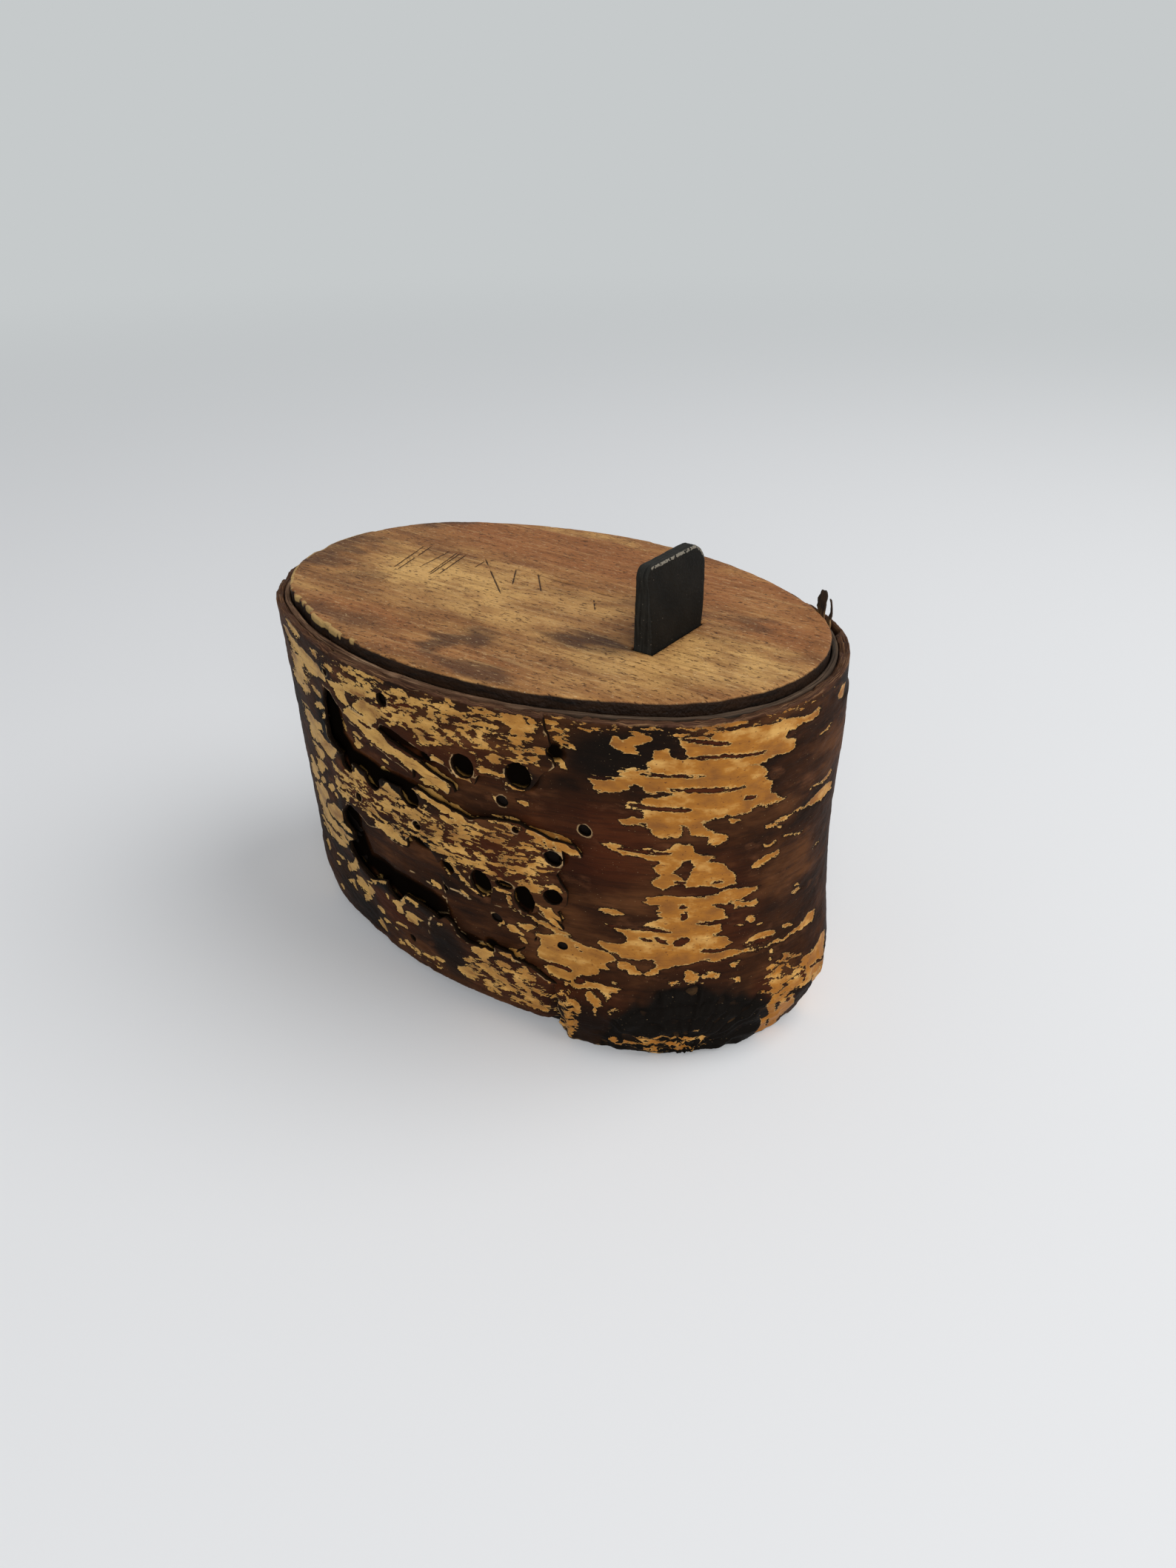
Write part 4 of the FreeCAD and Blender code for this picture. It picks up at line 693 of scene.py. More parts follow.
# Dark marks inside the pale layer: lenticels, thin and level, and gaps where the brown bark is left.
DARK_STROKES = [
    (63, 79.4, 80, 77.9, 0.4), (53, 75.4, 66, 74.8, 0.35), (58, 72, 75, 70.8, 0.5),
    (50.4, 67.8, 62.6, 66.8, 0.55), (47, 57, 57, 56.2, 0.45), (40, 46.8, 75, 46.2, 0.5),
    (43, 36.2, 55, 35.6, 0.5), (67, 30, 96, 28.9, 0.45), (75, 68, 78, 67.8, 0.5),
    (62, 83.4, 71.6, 81.6, 0.5), (62, 37.6, 67.6, 37.4, 0.4), (62.6, 30, 70, 29.8, 0.5),
    (56, 32, 59.4, 33.4, 1), (52, 33.6, 54.6, 32.2, 0.7), (49, 33, 51, 32.4, 0.4),
    (58, 39, 59.4, 40.6, 0.8), (57.8, 42.4, 59.6, 42.2, 0.5), (66, 48.4, 69.4, 48.4, 0.35),
    (57.6, 49, 60, 48.8, 0.5), (40, 73.8, 48, 73.8, 0.4), (26, 21.6, 34, 20.2, 0.6),
    (33, 20.6, 34.4, 20, 0.7), (36, 18, 39, 19.6, 0.8), (93, 16.6, 94.6, 16.8, 1.3),
    (34.6, 28, 36.2, 26.6, 0.2), (87, 12.6, 88, 9, 0.5), (89.6, 12.4, 90.6, 10.6, 0.6),
    (97, 17, 104, 15.6, 0.4), (92, 12, 96, 8.6, 0.9), (86.6, 6, 88.6, 2, 0.35), (-6, 49.4, 12, 47.6, 0.5),
    (8, 48, 10, 51, 0.5), (-10.4, 55.8, -7, 55.2, 0.5), (-1.6, 51.2, 1.8, 50.6, 0.8),
    (-2, 82.4, -0.4, 80.2, 1), (8, 82.4, -2, 81, 0.35), (-10, 79, -4.6, 78.8, 0.4),
    (-14.4, 73, -10, 72.4, 0.5), (-18.4, 75, -12, 74.8, 0.3), (8.4, 57.6, 11.6, 56.8, 0.35),
    (14.4, 83, 18, 82, 0.3), (2, 83, 4, 79, 0.25), (31.6, 57.4, 31.8, 55.6, 0.2),
    (33.6, 57, 33.8, 55.4, 0.2), (22, 46, 24, 45, 0.6), (19, 46.4, 20.6, 44.6, 0.5),
    (26, 45.6, 27, 45, 0.4),
]
# Where flecks of brown and pale mix finely: middle (along, height), half sizes and strength.
FLECKED = [(-20, 83.4, 16, 3.4, 0.9), (12, 80, 24, 7, 1), (26, 74, 8, 3.4, 0.9), (-8, 52, 20, 6, 1.1),
           (18, 49, 16, 7, 1.1), (24, 55, 7, 4, 1), (-24, 52, 8, 5, 0.6), (20, 11, 16, 8, 0.9),
           (-14, 6, 12, 2.6, 0.9), (36, 82, 4, 4, 0.8), (35, 8, 5, 8, 1), (-46, 74, 12, 12, 0.5),
           (66, 13, 22, 10, 0.5), (88, 18, 8, 6, 0.9), (58, 85.6, 46, 1.5, 1), (60, 4, 14, 4, 1.1)]
# Where the brown is sooty black, with painted shade where the bands shade the windows and bites, and where it
# is red: middle (along, height), half sizes and strength.
SOOT_AND_SHADE = [(47, 79, 11, 6.5, 0.9), (57, 83.5, 6, 5, 0.7), (66, 6.5, 21.5, 14.5, 1), (40, 6, 12, 9, 0.8),
         (-40, 13, 16, 12, 0.6), (0, 14, 7, 11, 0.7), (-30, 66, 5.5, 9, 1), (-18, 59.5, 10, 2.4, 0.9),
         (-5, 59, 8, 2.2, 0.9), (-29.5, 36, 5.5, 9, 1), (-14, 28.5, 13, 5, 1), (-3, 28, 4.5, 4.5, 0.9),
         (-26, 81, 3, 2.5, 0.9), (29, 71.5, 4, 3, 0.8), (0, 47, 5, 3, 0.9), (36, 60, 6, 14, 0.25)]
RUDDY = [(42, 57, 20, 12, 0.8), (-20, 18, 9, 6, 0.7), (30, 12, 30, 10, 0.5), (82, 12, 5, 10, 0.8),
         (-20, 52, 16, 5, 0.6), (20, 50, 16, 7, 0.6), (66, 40, 14, 20, 0.5), (10, 74, 20, 8, 0.4),
         (-10, 66, 16, 6, 0.3)]
# Deep in the shade of the bands: under the bites, and along the windows' left and lower borders.
HOLLOWS = [(u, v, 1.12 * half_u, 1.12 * half_v, 1) for u, v, half_u, half_v in BITES]
HOLLOWS += [(-29, 69, 4.6, 9, 1), (-27, 61.5, 6, 3.6, 1), (-17, 60.3, 8, 2.2, 1), (-6, 60.2, 7, 1.8, 1),
            (-2, 72.6, 8, 1.7, 0.9), (-29, 41, 4.4, 4, 1), (-28, 31, 5.6, 6.4, 1), (-18, 28.6, 8, 3.6, 1),
            (-8, 28.8, 8, 3.2, 1), (-1, 28, 4.6, 3.4, 0.9), (0, 47, 4, 2.6, 1), (8, 21.6, 3.6, 1, 0.8)]
# Fine light lines on the torn lips of the bands and on the arch of a fold beside the lower window: partly the
# pale layer, partly painted highlight.
LIGHT_LINES = [
    [(-28.4, 76.4), (-25, 75.8), (-22.8, 73.8), (-20, 72.2), (-16, 70.2), (-10, 68), (-4.4, 66.6)],
    [(-26, 45.8), (-23.6, 46.5), (-21, 45.4), (-18.4, 43.6), (-16.6, 43.4), (-14, 44.6), (-12, 44.4),
     (-9.6, 43.1), (-6, 43)],
    [(3.5, 36), (3.6, 33), (2.6, 26.4), (-1, 25.2), (-3.4, 22.6), (-5.2, 18.6), (-7.4, 15.4)],
    [(4.6, 25.6), (5.2, 22.4), (8, 20.8), (11.5, 21.5)],
    [(-17, 75.4), (-12, 74.2), (-9, 72.8)],
    [(-21.6, 69.6), (-17.6, 69.4), (-12, 67.6)],
    [(-7.2, 34.4), (-4, 34.6), (0, 33.2), (2.6, 31)],
    [(5.6, 35.4), (8, 35.2), (10.6, 34)],
]


# The knot's middle (along, height), its half sizes, and the height that its wrinkles spread from.
KNOT, KNOT_HALF, KNOT_HEART = (66, 6.5), (21.5, 13.5), 1
CRUMPLED, CRUMPLED_HIP = 36, 98  # places along the foot where the bark is crumpled
# The part of the wall whose flakes are placed one by one: its middle and half its length.
PLACED, PLACED_HALF = 28, 84
STROKE_REACH = 6  # a stroke is left out where a point is further off than this


def spread(u, v, places, ease=0.5):
    """The strength of the nearest place, which falls to 0 past its edge."""
    total = np.zeros(u.shape)
    for mid_u, mid_v, half_u, half_v, strength in places:
        away = np.hypot((u - mid_u) / half_u, (v - mid_v) / half_v)
        total = np.maximum(total, strength * smooth((1.25 - away) / ease))
    return total


def pale_field(w, z, run):
    """The pale inner layer: the signed distance in millimetres to where it shows, positive in it, how finely
    it and the brown are mixed, and where a dark pore runs through it. run is the way along the sheet."""
    push = noise(run, z, 3.4, 2.2, 41, 3)
    side = noise(run, z, 3.4, 2.2, 47, 3)
    u, v = w + 0.8 * push, z + 0.65 * side
    field = np.full(w.shape, -4.0)
    for stroke in PALE_STROKES:
        u0, v0, u1, v1, _ = stroke
        near = (u > min(u0, u1) - STROKE_REACH) & (u < max(u0, u1) + STROKE_REACH)
        near &= (v > min(v0, v1) - STROKE_REACH) & (v < max(v0, v1) + STROKE_REACH)
        if near.any():
            field[near] = np.maximum(field[near], in_stroke(u[near], v[near], stroke))
    for patch in PALE_PATCHES:
        field = np.maximum(field, in_polygon(u, v, patch))
    # The back and the far left have broad level flakes.
    far = smooth((np.abs(w - PLACED) - PLACED_HALF) / 12)
    flakes = noise(run, z, 14, 3.6, 71, 4) * 3.4 - 0.9 + 0.8 * noise(run, z, 60, 30, 75, 2)
    field = np.where(far > 0, np.maximum(field, flakes - 6 * (1 - far)), field)
    # Small flecks of pale in the brown, and small holes in the pale.
    mixed = np.maximum(spread(w, z, FLECKED), 0.7 * far * smooth(0.5 + noise(run, z, 30, 16, 77, 2)))
    flecks = noise(run, z, 2.6, 1.25, 53, 3)
    shown = (flecks - 0.42) * 2.2 * mixed - (1 - mixed) * 2
    field = np.where(flecks > 0.30, np.maximum(field, shown), field)
    holes = noise(run, z, 2.4, 1.1, 59, 3)
    hidden = (0.50 - holes) * 2.6 + (1 - mixed) * 4
    field = np.where(holes > 0.36, np.minimum(field, hidden), field)
    field = np.maximum(field, 3.2 * mixed - 4)
    pore = np.zeros(w.shape)
    for stroke in DARK_STROKES:
        line = in_stroke(w + 0.3 * push, z + 0.2 * side, stroke)
        pore = np.maximum(pore, smooth((line + 0.3) / 0.3) * (field > 0))
        field = np.minimum(field, -line)
    return field, mixed, pore


def light_lines(w, z):
    """1 on the fine light lines, broken here and there, and 0 away from them."""
    gap = np.full(w.shape, 9.0)
    for line in LIGHT_LINES:
        for a, b in zip(line, line[1:]):
            gap = np.minimum(gap, to_segment(w, z, a, b)[0])
    return np.exp(-(gap / 0.26) ** 2) * smooth(1.1 + 1.8 * noise(w, z, 1.8, 1.8, 89, 2))


def knot_field(w, z):
    """1 in the black knot at the right of the foot, 0 outside it."""
    away = np.hypot((w - KNOT[0]) / KNOT_HALF[0], (z - KNOT[1]) / KNOT_HALF[1])
    return smooth((1.12 - away + 0.10 * noise(w, z, 5, 4, 83, 2)) / 0.2)


def relief(w, z, pale, run):
    """The bark's own hills and hollows, in millimetres: cockling, steps between layers, and wrinkles."""
    cockle = 0.26 * noise(run, z, 26, 15, 11, 3) + 0.09 * noise(run, z, 6, 3, 13, 2) - 0.1
    step = -0.20 * smooth((pale + 0.25) / 0.5)
    # The knot's wrinkles are spokes across rings.
    along, up = w - KNOT[0], z - KNOT_HEART
    spokes = noise(np.arctan2(up, along) * 9, np.hypot(along, up), 1, 22, 17, 3)
    rings = np.sin(np.hypot(along / 1.7, z - 4) * 1.45 + 1.5 * noise(w, z, 9, 9, 19, 2))
    wrinkles = knot_field(w, z) * (0.75 * spokes + 0.34 * rings - 0.3)
    # Upright creases at the foot, beside the lock and on the end's hip.
    crumple = 0.9 * smooth(1 - np.abs(w - CRUMPLED) / 5) * smooth((17 - z) / 5)
    crumple = crumple * noise(w, z, 2.2, 9, 23, 3)
    hip = np.exp(-((w - CRUMPLED_HIP) / 14) ** 2) * smooth((21 - z) / 4) * 0.45
    hip = hip * noise(w, z, 2.4, 7, 29, 3)
    fine = 0.05 * noise(run, z, 1.6, 0.9, 31, 2)
    return cockle + step + wrinkles + crumple + hip + fine


def left_depth(w, z):
    """The left end lies on the ovals, rides up over the tongues, and dips under the right end at the foot."""
    over = smooth((w + 33) / 6)
    climb = RIDE * over * smooth((RIM - z) / 24)
    dip = -WRAP * smooth((w - 29) / 3) * smooth((17 - z) / 3)
    swollen = swelling(w, z) * (smooth((w - 40) / 3) + (w < 30))
    return climb + dip - RIDE * over * smooth((17 - z) / 3) * smooth((w - 27) / 4) + swollen


def right_depth(w, z):
    """The right end lies on the ovals, dives under the bands, and laps over the left end at the foot."""
    dive = -1.0 * smooth((44 - w) / 8) * smooth((z - 14.5) / 2.5)
    deeper = -0.55 * smooth((4.2 - w) / 1.6) * smooth((40 - z) / 3) - 0.35 * smooth((-6 - w) / 12)
    tip = -0.35 * smooth((-22 - w) / 6)
    lap = WRAP * smooth((16.5 - z) / 2.5) * smooth((36.8 - w) / 1.5)
    return dive + np.where(z > 18, deeper + tip, 0) + lap + swelling(w, z)


RIM_INSIDE = -1.95  # where the wrap's inner face meets the liner at the rim, out from the ovals
STRIPS = 136.5  # the place along the rim where the torn strips stand
LAYERS = 3  # the pattern's depth through the sheet, so that its cut edge shows layers
SEAM_BORDER = 0.5  # a border along the seam that is kept straight and whole
# How finely the outer face is meshed: from and to along the wall, and the points' spacing along and up.
MESH_STEPS = [(-60, 112, (0.58, 0.4)), (-90, -60, (1.1, 0.8)), (112, 140, (1.1, 0.8)),
              (-199, -90, (2.2, 1.5)), (140, 199, (2.2, 1.5))]
COARSE_STEP, COARSE_SPARE = (4.0, 4.0), 2


def make_sheet(name, loop, holes, depth, thickness, under, material):
    """One end of the wrap: a finely meshed outer face, a coarse inner face and rounded, laminated cuts.

    depth gives how far the outer face lies out from the ovals. under is true for the end behind the bands."""
    kept = SEAM - SEAM_BORDER
    loop = ragged(loop, step=0.45, size=2.2, amount=0.22, seed=61)
    loop = [(math.copysign(SEAM, u) if abs(u) > kept else u, v) for u, v in loop]
    holes = [ragged(hole, step=0.4, size=1.3, amount=0.1, seed=67) for hole in holes]
    cuts = loop + [point for hole in holes for point in hole]
    (low_u, low_v), (high_u, high_v) = np.min(loop, 0), np.max(loop, 0)
    fine = []
    for start, end, step in MESH_STEPS:
        start, end = max(start, low_u), min(end, high_u)
        if end > start:
            fine += spaced_grid(((start, low_v), (end, high_v)), step, step[0] * 0.6, cuts).tolist()
    coarse = spaced_grid(((low_u, low_v), (high_u, high_v)), COARSE_STEP, COARSE_SPARE, cuts).tolist()
    turned = 0 if under else AROUND  # the bands' end lies one turn further along the same sheet
    fields = {}

    def place(w, z, share, away):
        run = w + turned
        pale, mixed, pore = pale_field(w, z, run)
        whole = smooth((kept - np.abs(w)) / 1.5)
        shade = spread(w, z, HOLLOWS) if under else np.zeros(w.shape)
        front = share == 1
        cover = depth(w, z)
        inner = cover - thickness
        # At the rim the sheet thickens to close its gap with the liner, except where the torn strips stand.
        closed = smooth((z - 80) / 4) * smooth((np.abs(w - STRIPS) - 7) / 2.5)
        inner = inner + closed * np.minimum(RIM_INSIDE - inner, 0)
        # The outer face has its relief, and a lip raised behind each cut and rounded down at it.
        skin = cover + relief(w, z, pale, run)
        skin = skin + whole * (0.10 * np.exp(-away / 1.1) - 0.16 * np.exp(-away / 0.3))
        skin = np.minimum(skin, np.where(z > 80, 0.35, 9))
        # The cut edges are frayed, and the rim is worn down here and there.
        frayed = np.where((share > 0) & ~front, 0.07 * noise(w * 3, z * 3 + 40 * share, 1, 1, 97, 2), 0)
        worn = np.where(z > 86.2, 0.5 * smooth(noise(w, share * 2, 4, 1, 99, 2) * 1.8 - 0.1), 0)
        # A light line along each cut: partly the pale layer exposed there, partly a painted highlight on the
        # lip.
        torn = 0.7 * whole * np.exp(-away / 0.2) * smooth(1.6 * noise(w, z, 2.6, 2, 87, 2) - 0.1)
        fields.update(
            pale=np.where(front, pale, -3), mixed=mixed, skin=share,
            soot=np.maximum(spread(w, z, SOOT_AND_SHADE, 0.8), knot_field(w, z)), shade=shade,
            ruddy=np.maximum(spread(w, z, RUDDY, 0.9), 1.4 * pore),
            orange=smooth((w + 30) / 90) * (1 - smooth((w - 120) / 70)),
            top=smooth((z - 86.1) / 0.4), lip=front * np.maximum(light_lines(w, z), torn))
        points = wall(w, np.maximum(z - worn, 0.02), inner + (skin - inner) * share + frayed)
        return np.clip(points, np.array(cad_low) / MM, np.array(cad_high) / MM)

    rows = [(0.94, 0.1), (0.8, 0.17), (0.5, 0.19), (0.22, 0.13), (0, 0)]
    piece, w, z, share, _ = make_slab(name, loop, holes, fine, coarse, place, rows, SEAM - 0.01)
    set_vectors(piece, "sheet", np.stack([w + turned, z, share * LAYERS], 1))
    for key, values in fields.items():
        set_numbers(piece, key, values)
    dress(piece, "box", ["outer_bark"], material)


def birch_bark_material():
    """Weathered birch bark, its brown outer side worn through in flakes to the pale cork: a crisp two-tone
    skin with level pores, waxy and smooth on the pale layer, dull and finely pitted on the brown."""
    material, found = start_material("weathered_birch_bark", "sheet", {
        "crumbs": ((1.15, 0.45, 1), 3), "flecks": ((2.5, 0.9, 2), 4), "cloud": ((22, 9, 5), 4),
        "streaks": ((9, 0.8, 2), 4), "specks": ((0.6, 0.35, 0.5), 2), "stain": ((9, 5, 3), 4),
        "pits": ((0.9, 0.6, 1), 2), "lamina": ((9, 3, 0.16), 3), "fibres": ((5, 0.45, 1), 5)},
        ("pale", "mixed", "skin", "soot", "ruddy", "orange", "lip", "top", "shade"))
    # The pale layer's edge is broken into small level chips. Where the two are mixed, each has flecks of the
    # other in it.
    sheet = add_node(material, "ShaderNodeAttribute", {"attribute_name": "sheet"})
    scaled = add_node(material, "ShaderNodeMapping", {}, {
        "Vector": (sheet, "Vector"), "Scale": (1 / 2.4, 1 / 0.8, 0.5)})
    chips = add_node(material, "ShaderNodeTexVoronoi", {}, {"Vector": scaled, "Scale": 1.0})
    fine = add_node(material, "ShaderNodeMath", {"operation": "MULTIPLY_ADD"}, {
        0: found["flecks"], 1: 9.0, 2: -4.5})
    edge = add_node(material, "ShaderNodeMath", {"operation": "MULTIPLY_ADD"}, {
        0: fine, 1: found["mixed"], 2: found["pale"]})
    for source, reach in ((found["crumbs"], 1.4), ((chips, "Color"), 0.4)):
        push = add_node(material, "ShaderNodeMath", {"operation": "MULTIPLY_ADD"}, {
            0: source, 1: reach, 2: -reach / 2})
        edge = add_node(material, "ShaderNodeMath", {}, {0: edge, 1: push})
    outline = add_node(material, "ShaderNodeMath", {}, {0: edge, 1: 0.4})
    # The brown skin: sooty, with painted shade in the windows and round the bites, light specks that are
    # partly painted glints, and a painted shadow along the flakes' edges.
    brown = add_node(material, "ShaderNodeValToRGB", {}, {0: found["cloud"]}, [
        (0.34, "#1A0E07"), (0.5, "#351D0E"), (0.66, "#57351D")])
    brown = lay(material, brown, [
        (found["ruddy"], [(0, 0.0), (1, 0.85)], "#48200E"),
        (found["stain"], [(0.58, 0.0), (0.74, 0.6)], "#69422A"),
        (found["streaks"], [(0.36, 0.4), (0.52, 0.0)], "#1B0F09"),
        # Sooty bark and the knot, with painted shade in the windows and round the bites.
        (found["soot"], [(0, 0.0), (0.5, 0.7), (1, 1.0)], "#0E0A07"),
        (found["specks"], [(0.70, 0.0), (0.75, 0.6)], "#A48A66"),
        (outline, [(0.0, 0.0), (0.36, 0.85)], "#120905")])
    # The pale cork, yellow on the bands and orange on the right end, with a painted highlight just inside
    # each flake's edge.
    tan = lay(material, srgb("#C49A54"), [
        (found["orange"], [(0, 0.0), (1, 1.0)], "#A46A25"),
        (found["stain"], [(0.33, 0.8), (0.52, 0.0)], "#7A4C22"),
        (found["stain"], [(0.52, 0.0), (0.68, 0.9)], "#D3A45C"),
        (found["pits"], [(0.31, 0.8), (0.36, 0.0)], "#5F3418"),
        (found["streaks"], [(0.27, 0.6), (0.38, 0.0)], "#6E3F1C"),
        (edge, [(0.0, 0.75), (0.26, 0.0)], "#D9B673")])
    mask = add_node(material, "ShaderNodeValToRGB", {}, {0: edge}, [(0, 0.0), (0.06, 1.0)])
    # The cut edges show the sheet's layers, darker in the cuts than along the rim: partly dirt and partly
    # painted shade in the cuts.
    layers = add_node(material, "ShaderNodeValToRGB", {}, {0: found["lamina"]}, [
        (0.38, "#0C0806"), (0.54, "#1B120B"), (0.70, "#3E2C1A")])
    torn = add_node(material, "ShaderNodeValToRGB", {}, {0: found["lamina"]}, [
        (0.36, "#20140D"), (0.52, "#54382A"), (0.70, "#94714F")])
    colour = lay(material, brown, [
        (mask, [(0, 0.0), (1, 1.0)], tan),
        # Light lips along the cuts: partly the pale layer, partly painted highlight.
        (found["lip"], [(0.3, 0.0), (0.8, 0.85)], "#C6A678"),
        (found["skin"], [(0.90, 1.0), (0.985, 0.0)], layers),
        (found["top"], [(0.2, 0.0), (1, 0.9)], torn),
        (found["shade"], [(0, 0.0), (1, 1.0)], "#090604")])
    rough = add_node(material, "ShaderNodeMapRange", {}, {"Value": mask, "To Min": 0.62, "To Max": 0.5})
    shine = add_node(material, "ShaderNodeMapRange", {}, {"Value": mask, "To Min": 0.06, "To Max": 0.16})
    dull = add_node(material, "ShaderNodeMath", {"operation": "SUBTRACT", "use_clamp": True}, {
        0: shine, 1: found["shade"]})
    grain = add_node(material, "ShaderNodeMath", {"operation": "MULTIPLY_ADD"}, {
        0: found["crumbs"], 1: 0.5, 2: found["fibres"]})
    step = add_node(material, "ShaderNodeMath", {"operation": "SUBTRACT"}, {0: 1.0, 1: mask})
    return finish_material(material, {
        "Base Color": colour, "Roughness": rough, "IOR": 1.45, "Specular IOR Level": dull}, [
        (grain, 0.25, 0.5), (step, 0.2, 0.6)])


def make_wrap():
    """The two ends of the wrap: the bands with their windows, and the tongues behind them."""
    material = birch_bark_material()
    holes = [disc(*bite) for bite in BITES] + [disc(*punch) for punch in BAND_PUNCHES]
    left = [(-SEAM, RIM)] + [(u, min(v, RIM)) for u, v in BAND_TIPS + BAND_FOOT] + [(-SEAM, FOOT_LIFT)]
    holes = [UPPER_WINDOW, LOWER_WINDOW, UPPER_SLOT] + holes
    make_sheet("outer_bark_bands", left[::-1], holes, left_depth, WRAP, False, material)
    right = [(u, min(v, RIM)) for u, v in RIGHT_EDGE] + [(130, 0.3), (SEAM, FOOT_LIFT), (SEAM, RIM)]
    holes = [disc(*punch) for punch in TONGUE_PUNCHES]
    make_sheet("outer_bark_tongues", right, holes, right_depth, TONGUE, True, material)


# ---------------------------------------------------------------- the liner
LINER_OUTSIDE, LINER_CRACK, LINER_INSIDE = 2.2, 2.77, 3.55  # insets from the ovals
LINER_HEIGHTS = (0.2, 14, 30, 45, 60, 75, 83)
LINER_STEP = 0.8  # the spacing of the points round the ring
LINER_EDGE = 86  # above this height the liner's cut edge shows


def make_liner():
    """The ring of bark inside the wrap. Its top edge shows its layers, with cracks in between."""
    w = np.arange(0, AROUND, LINER_STEP)
    profile = [(LINER_OUTSIDE, z) for z in LINER_HEIGHTS + (86.2, 86.8)]
    profile += [(2.28, 87), (2.5, 87.1), (2.72, 87.05), (LINER_CRACK, 86.3), (2.82, 87.05), (3.05, 87.15),
                (3.3, 87.1), (3.48, 86.95)]
    profile += [(LINER_INSIDE, z) for z in (86.6,) + LINER_HEIGHTS[::-1]]
    points, sheet = [], []
    for inset, z in profile:
        layer = inset > LINER_CRACK
        worn = 0.2 * noise(w, w * 0 + 9 * layer, 7, 5, 101, 3) - 0.14 if z > LINER_EDGE else 0
        filled = 0
        if inset == LINER_CRACK:
            filled = 0.75 * smooth(0.5 - 2.2 * noise(w, w * 0, 22, 5, 103, 2))
        height = z + worn + filled + w * 0
        points.append(wall(w, height, -inset))
        sheet.append(np.stack([w, height, np.full(len(w), inset)], 1))
    rows, columns = len(profile), len(w)
    index = np.arange(rows * columns).reshape(rows, columns)
    ahead, above = np.roll(index, -1, 1), np.roll(index, -1, 0)
    faces = np.stack([index, ahead, np.roll(above, -1, 1), above], -1).reshape(-1, 4)
    piece = new_mesh("inner_bark_ring", np.concatenate(points), faces)
    set_vectors(piece, "sheet", np.concatenate(sheet))
    set_numbers(piece, "dusk", smooth((np.tile((w + 99) % AROUND - 99, rows) - 10) / 40))
    # The walls are darker than the edge, a painted shade between wrap, liner and lid; the inner one is less
    # so lower down.
    lighter = [0.5 * (inset > LINER_CRACK) * smooth((82 - z) / 20) for inset, z in profile]
    wall_shade = [(z < LINER_EDGE) * (1 - less) for (_, z), less in zip(profile, lighter)]
    set_numbers(piece, "wall", np.repeat(wall_shade, columns))
    dress(piece, "box", ["inner_bark"], liner_material())


def liner_material():
    """The edge of old bark, cut across its layers: grey-brown, dull, streaked along the ring, over walls
    painted nearly black as shade."""
    material, found = start_material("cut_edge_of_birch_bark", "sheet", {
        "layers": ((16, 0.8, 0.34), 4), "fibres": ((4, 0.4, 0.1), 4), "cloud": ((9, 3, 3), 3)},
        ("dusk", "wall"))
    colour = add_node(material, "ShaderNodeValToRGB", {}, {0: found["layers"]}, [
        (0.34, "#2A1D14"), (0.42, "#6B503C"), (0.58, "#927258"), (0.70, "#BDA080")])
    colour = lay(material, colour, [
        (found["cloud"], [(0.38, 0.6), (0.56, 0.0)], "#4A2F20"),
        (found["dusk"], [(0, 0.0), (1, 0.75)], "#332E28"),
        (found["wall"], [(0, 0.0), (1, 1.0)], "#120B07")])
    return finish_material(material, {"Base Color": colour, "Roughness": 0.8, "Specular IOR Level": 0.12},
                           [(found["fibres"], 0.3, 0.5)])


# ---------------------------------------------------------------- the lid board
LID_TOP, LID_THICK, LID_INSET, ARRIS = 89.8, 9.5, 3.76, 0.5
LID_BOX = ((-76, -47), (70, 47))
LID_STEP = 0.6  # the spacing of the points round the board
LID_LEVEL = 85  # the height at which the board's outline follows the wall
SLOT = ((31.1, -13.5), (36.3, 7.2))
# Scratches across the lid: start, end (x, y) and depth.
SCRATCHES = [(-49.6, 10.6, -45, -6.9, 0.34), (-47.9, 11.9, -43.2, -7.5, 0.34),
             (-41.3, 11.2, -40, -2.5, 0.2), (-39.2, 11.9, -35, -5, 0.38), (-38.2, 11.9, -34.2, -5.6, 0.38),
             (-36.3, 11.9, -32.5, -4.4, 0.34), (-29.2, 10.6, -28.4, 5, 0.2),
             (-31.3, 12.5, -10.7, -5.6, 0.26), (-19.4, 10.6, -13.2, 1.3, 0.22),
             (-13.2, 11.3, -4.4, 1.3, 0.2), (8.1, 5, 12.5, -0.6, 0.2)]
SCRATCH_HALF = 0.3
# The start (x, y) of the ridge that ends the worn part at the back, and its slope towards the front.
RIDGE = (-51.4, 11.9, 0.052)
# Tones of the worn top: middle (x, y), half sizes, strength.
WORN_PLACES = [(-30, -3, 26, 12, 1), (50, -8, 14, 13, 0.9), (36, -22, 18, 8, 0.7), (-8, -14, 24, 8, 0.7),
               (5, 0, 14, 8, 0.5), (-20, 41, 26, 2.4, 0.6)]
STAINS = [(21, -15.5, 9, 5, 1), (-2, -31, 5.5, 11, 0.9), (-34, -35, 16, 4.5, 0.7),
          (10, -40.5, 16, 3.5, 0.8), (-60, 28, 8, 8, 0.9), (-69, -4, 9, 26, 0.7), (-62, 8, 10, 2.4, 0.6),
          (45, 12, 5, 5, 0.6), (-47, -14, 6, 3.5, 0.4), (24, 10, 9, 3, 0.4)]
RED_PLACES = [(-5, 28, 76, 16.5, 1), (-34, -33, 20, 7, 0.9), (56, 14, 14, 12, 0.8), (0, -38, 24, 6, 0.6)]


def tone(x, y, places, seed):
    """The places' strength with edges that wander along the grain."""
    drift = noise(x, y, 12, 3.5, seed, 3)
    return spread(x + 6 * drift, y + 2 * drift, places, 0.8)


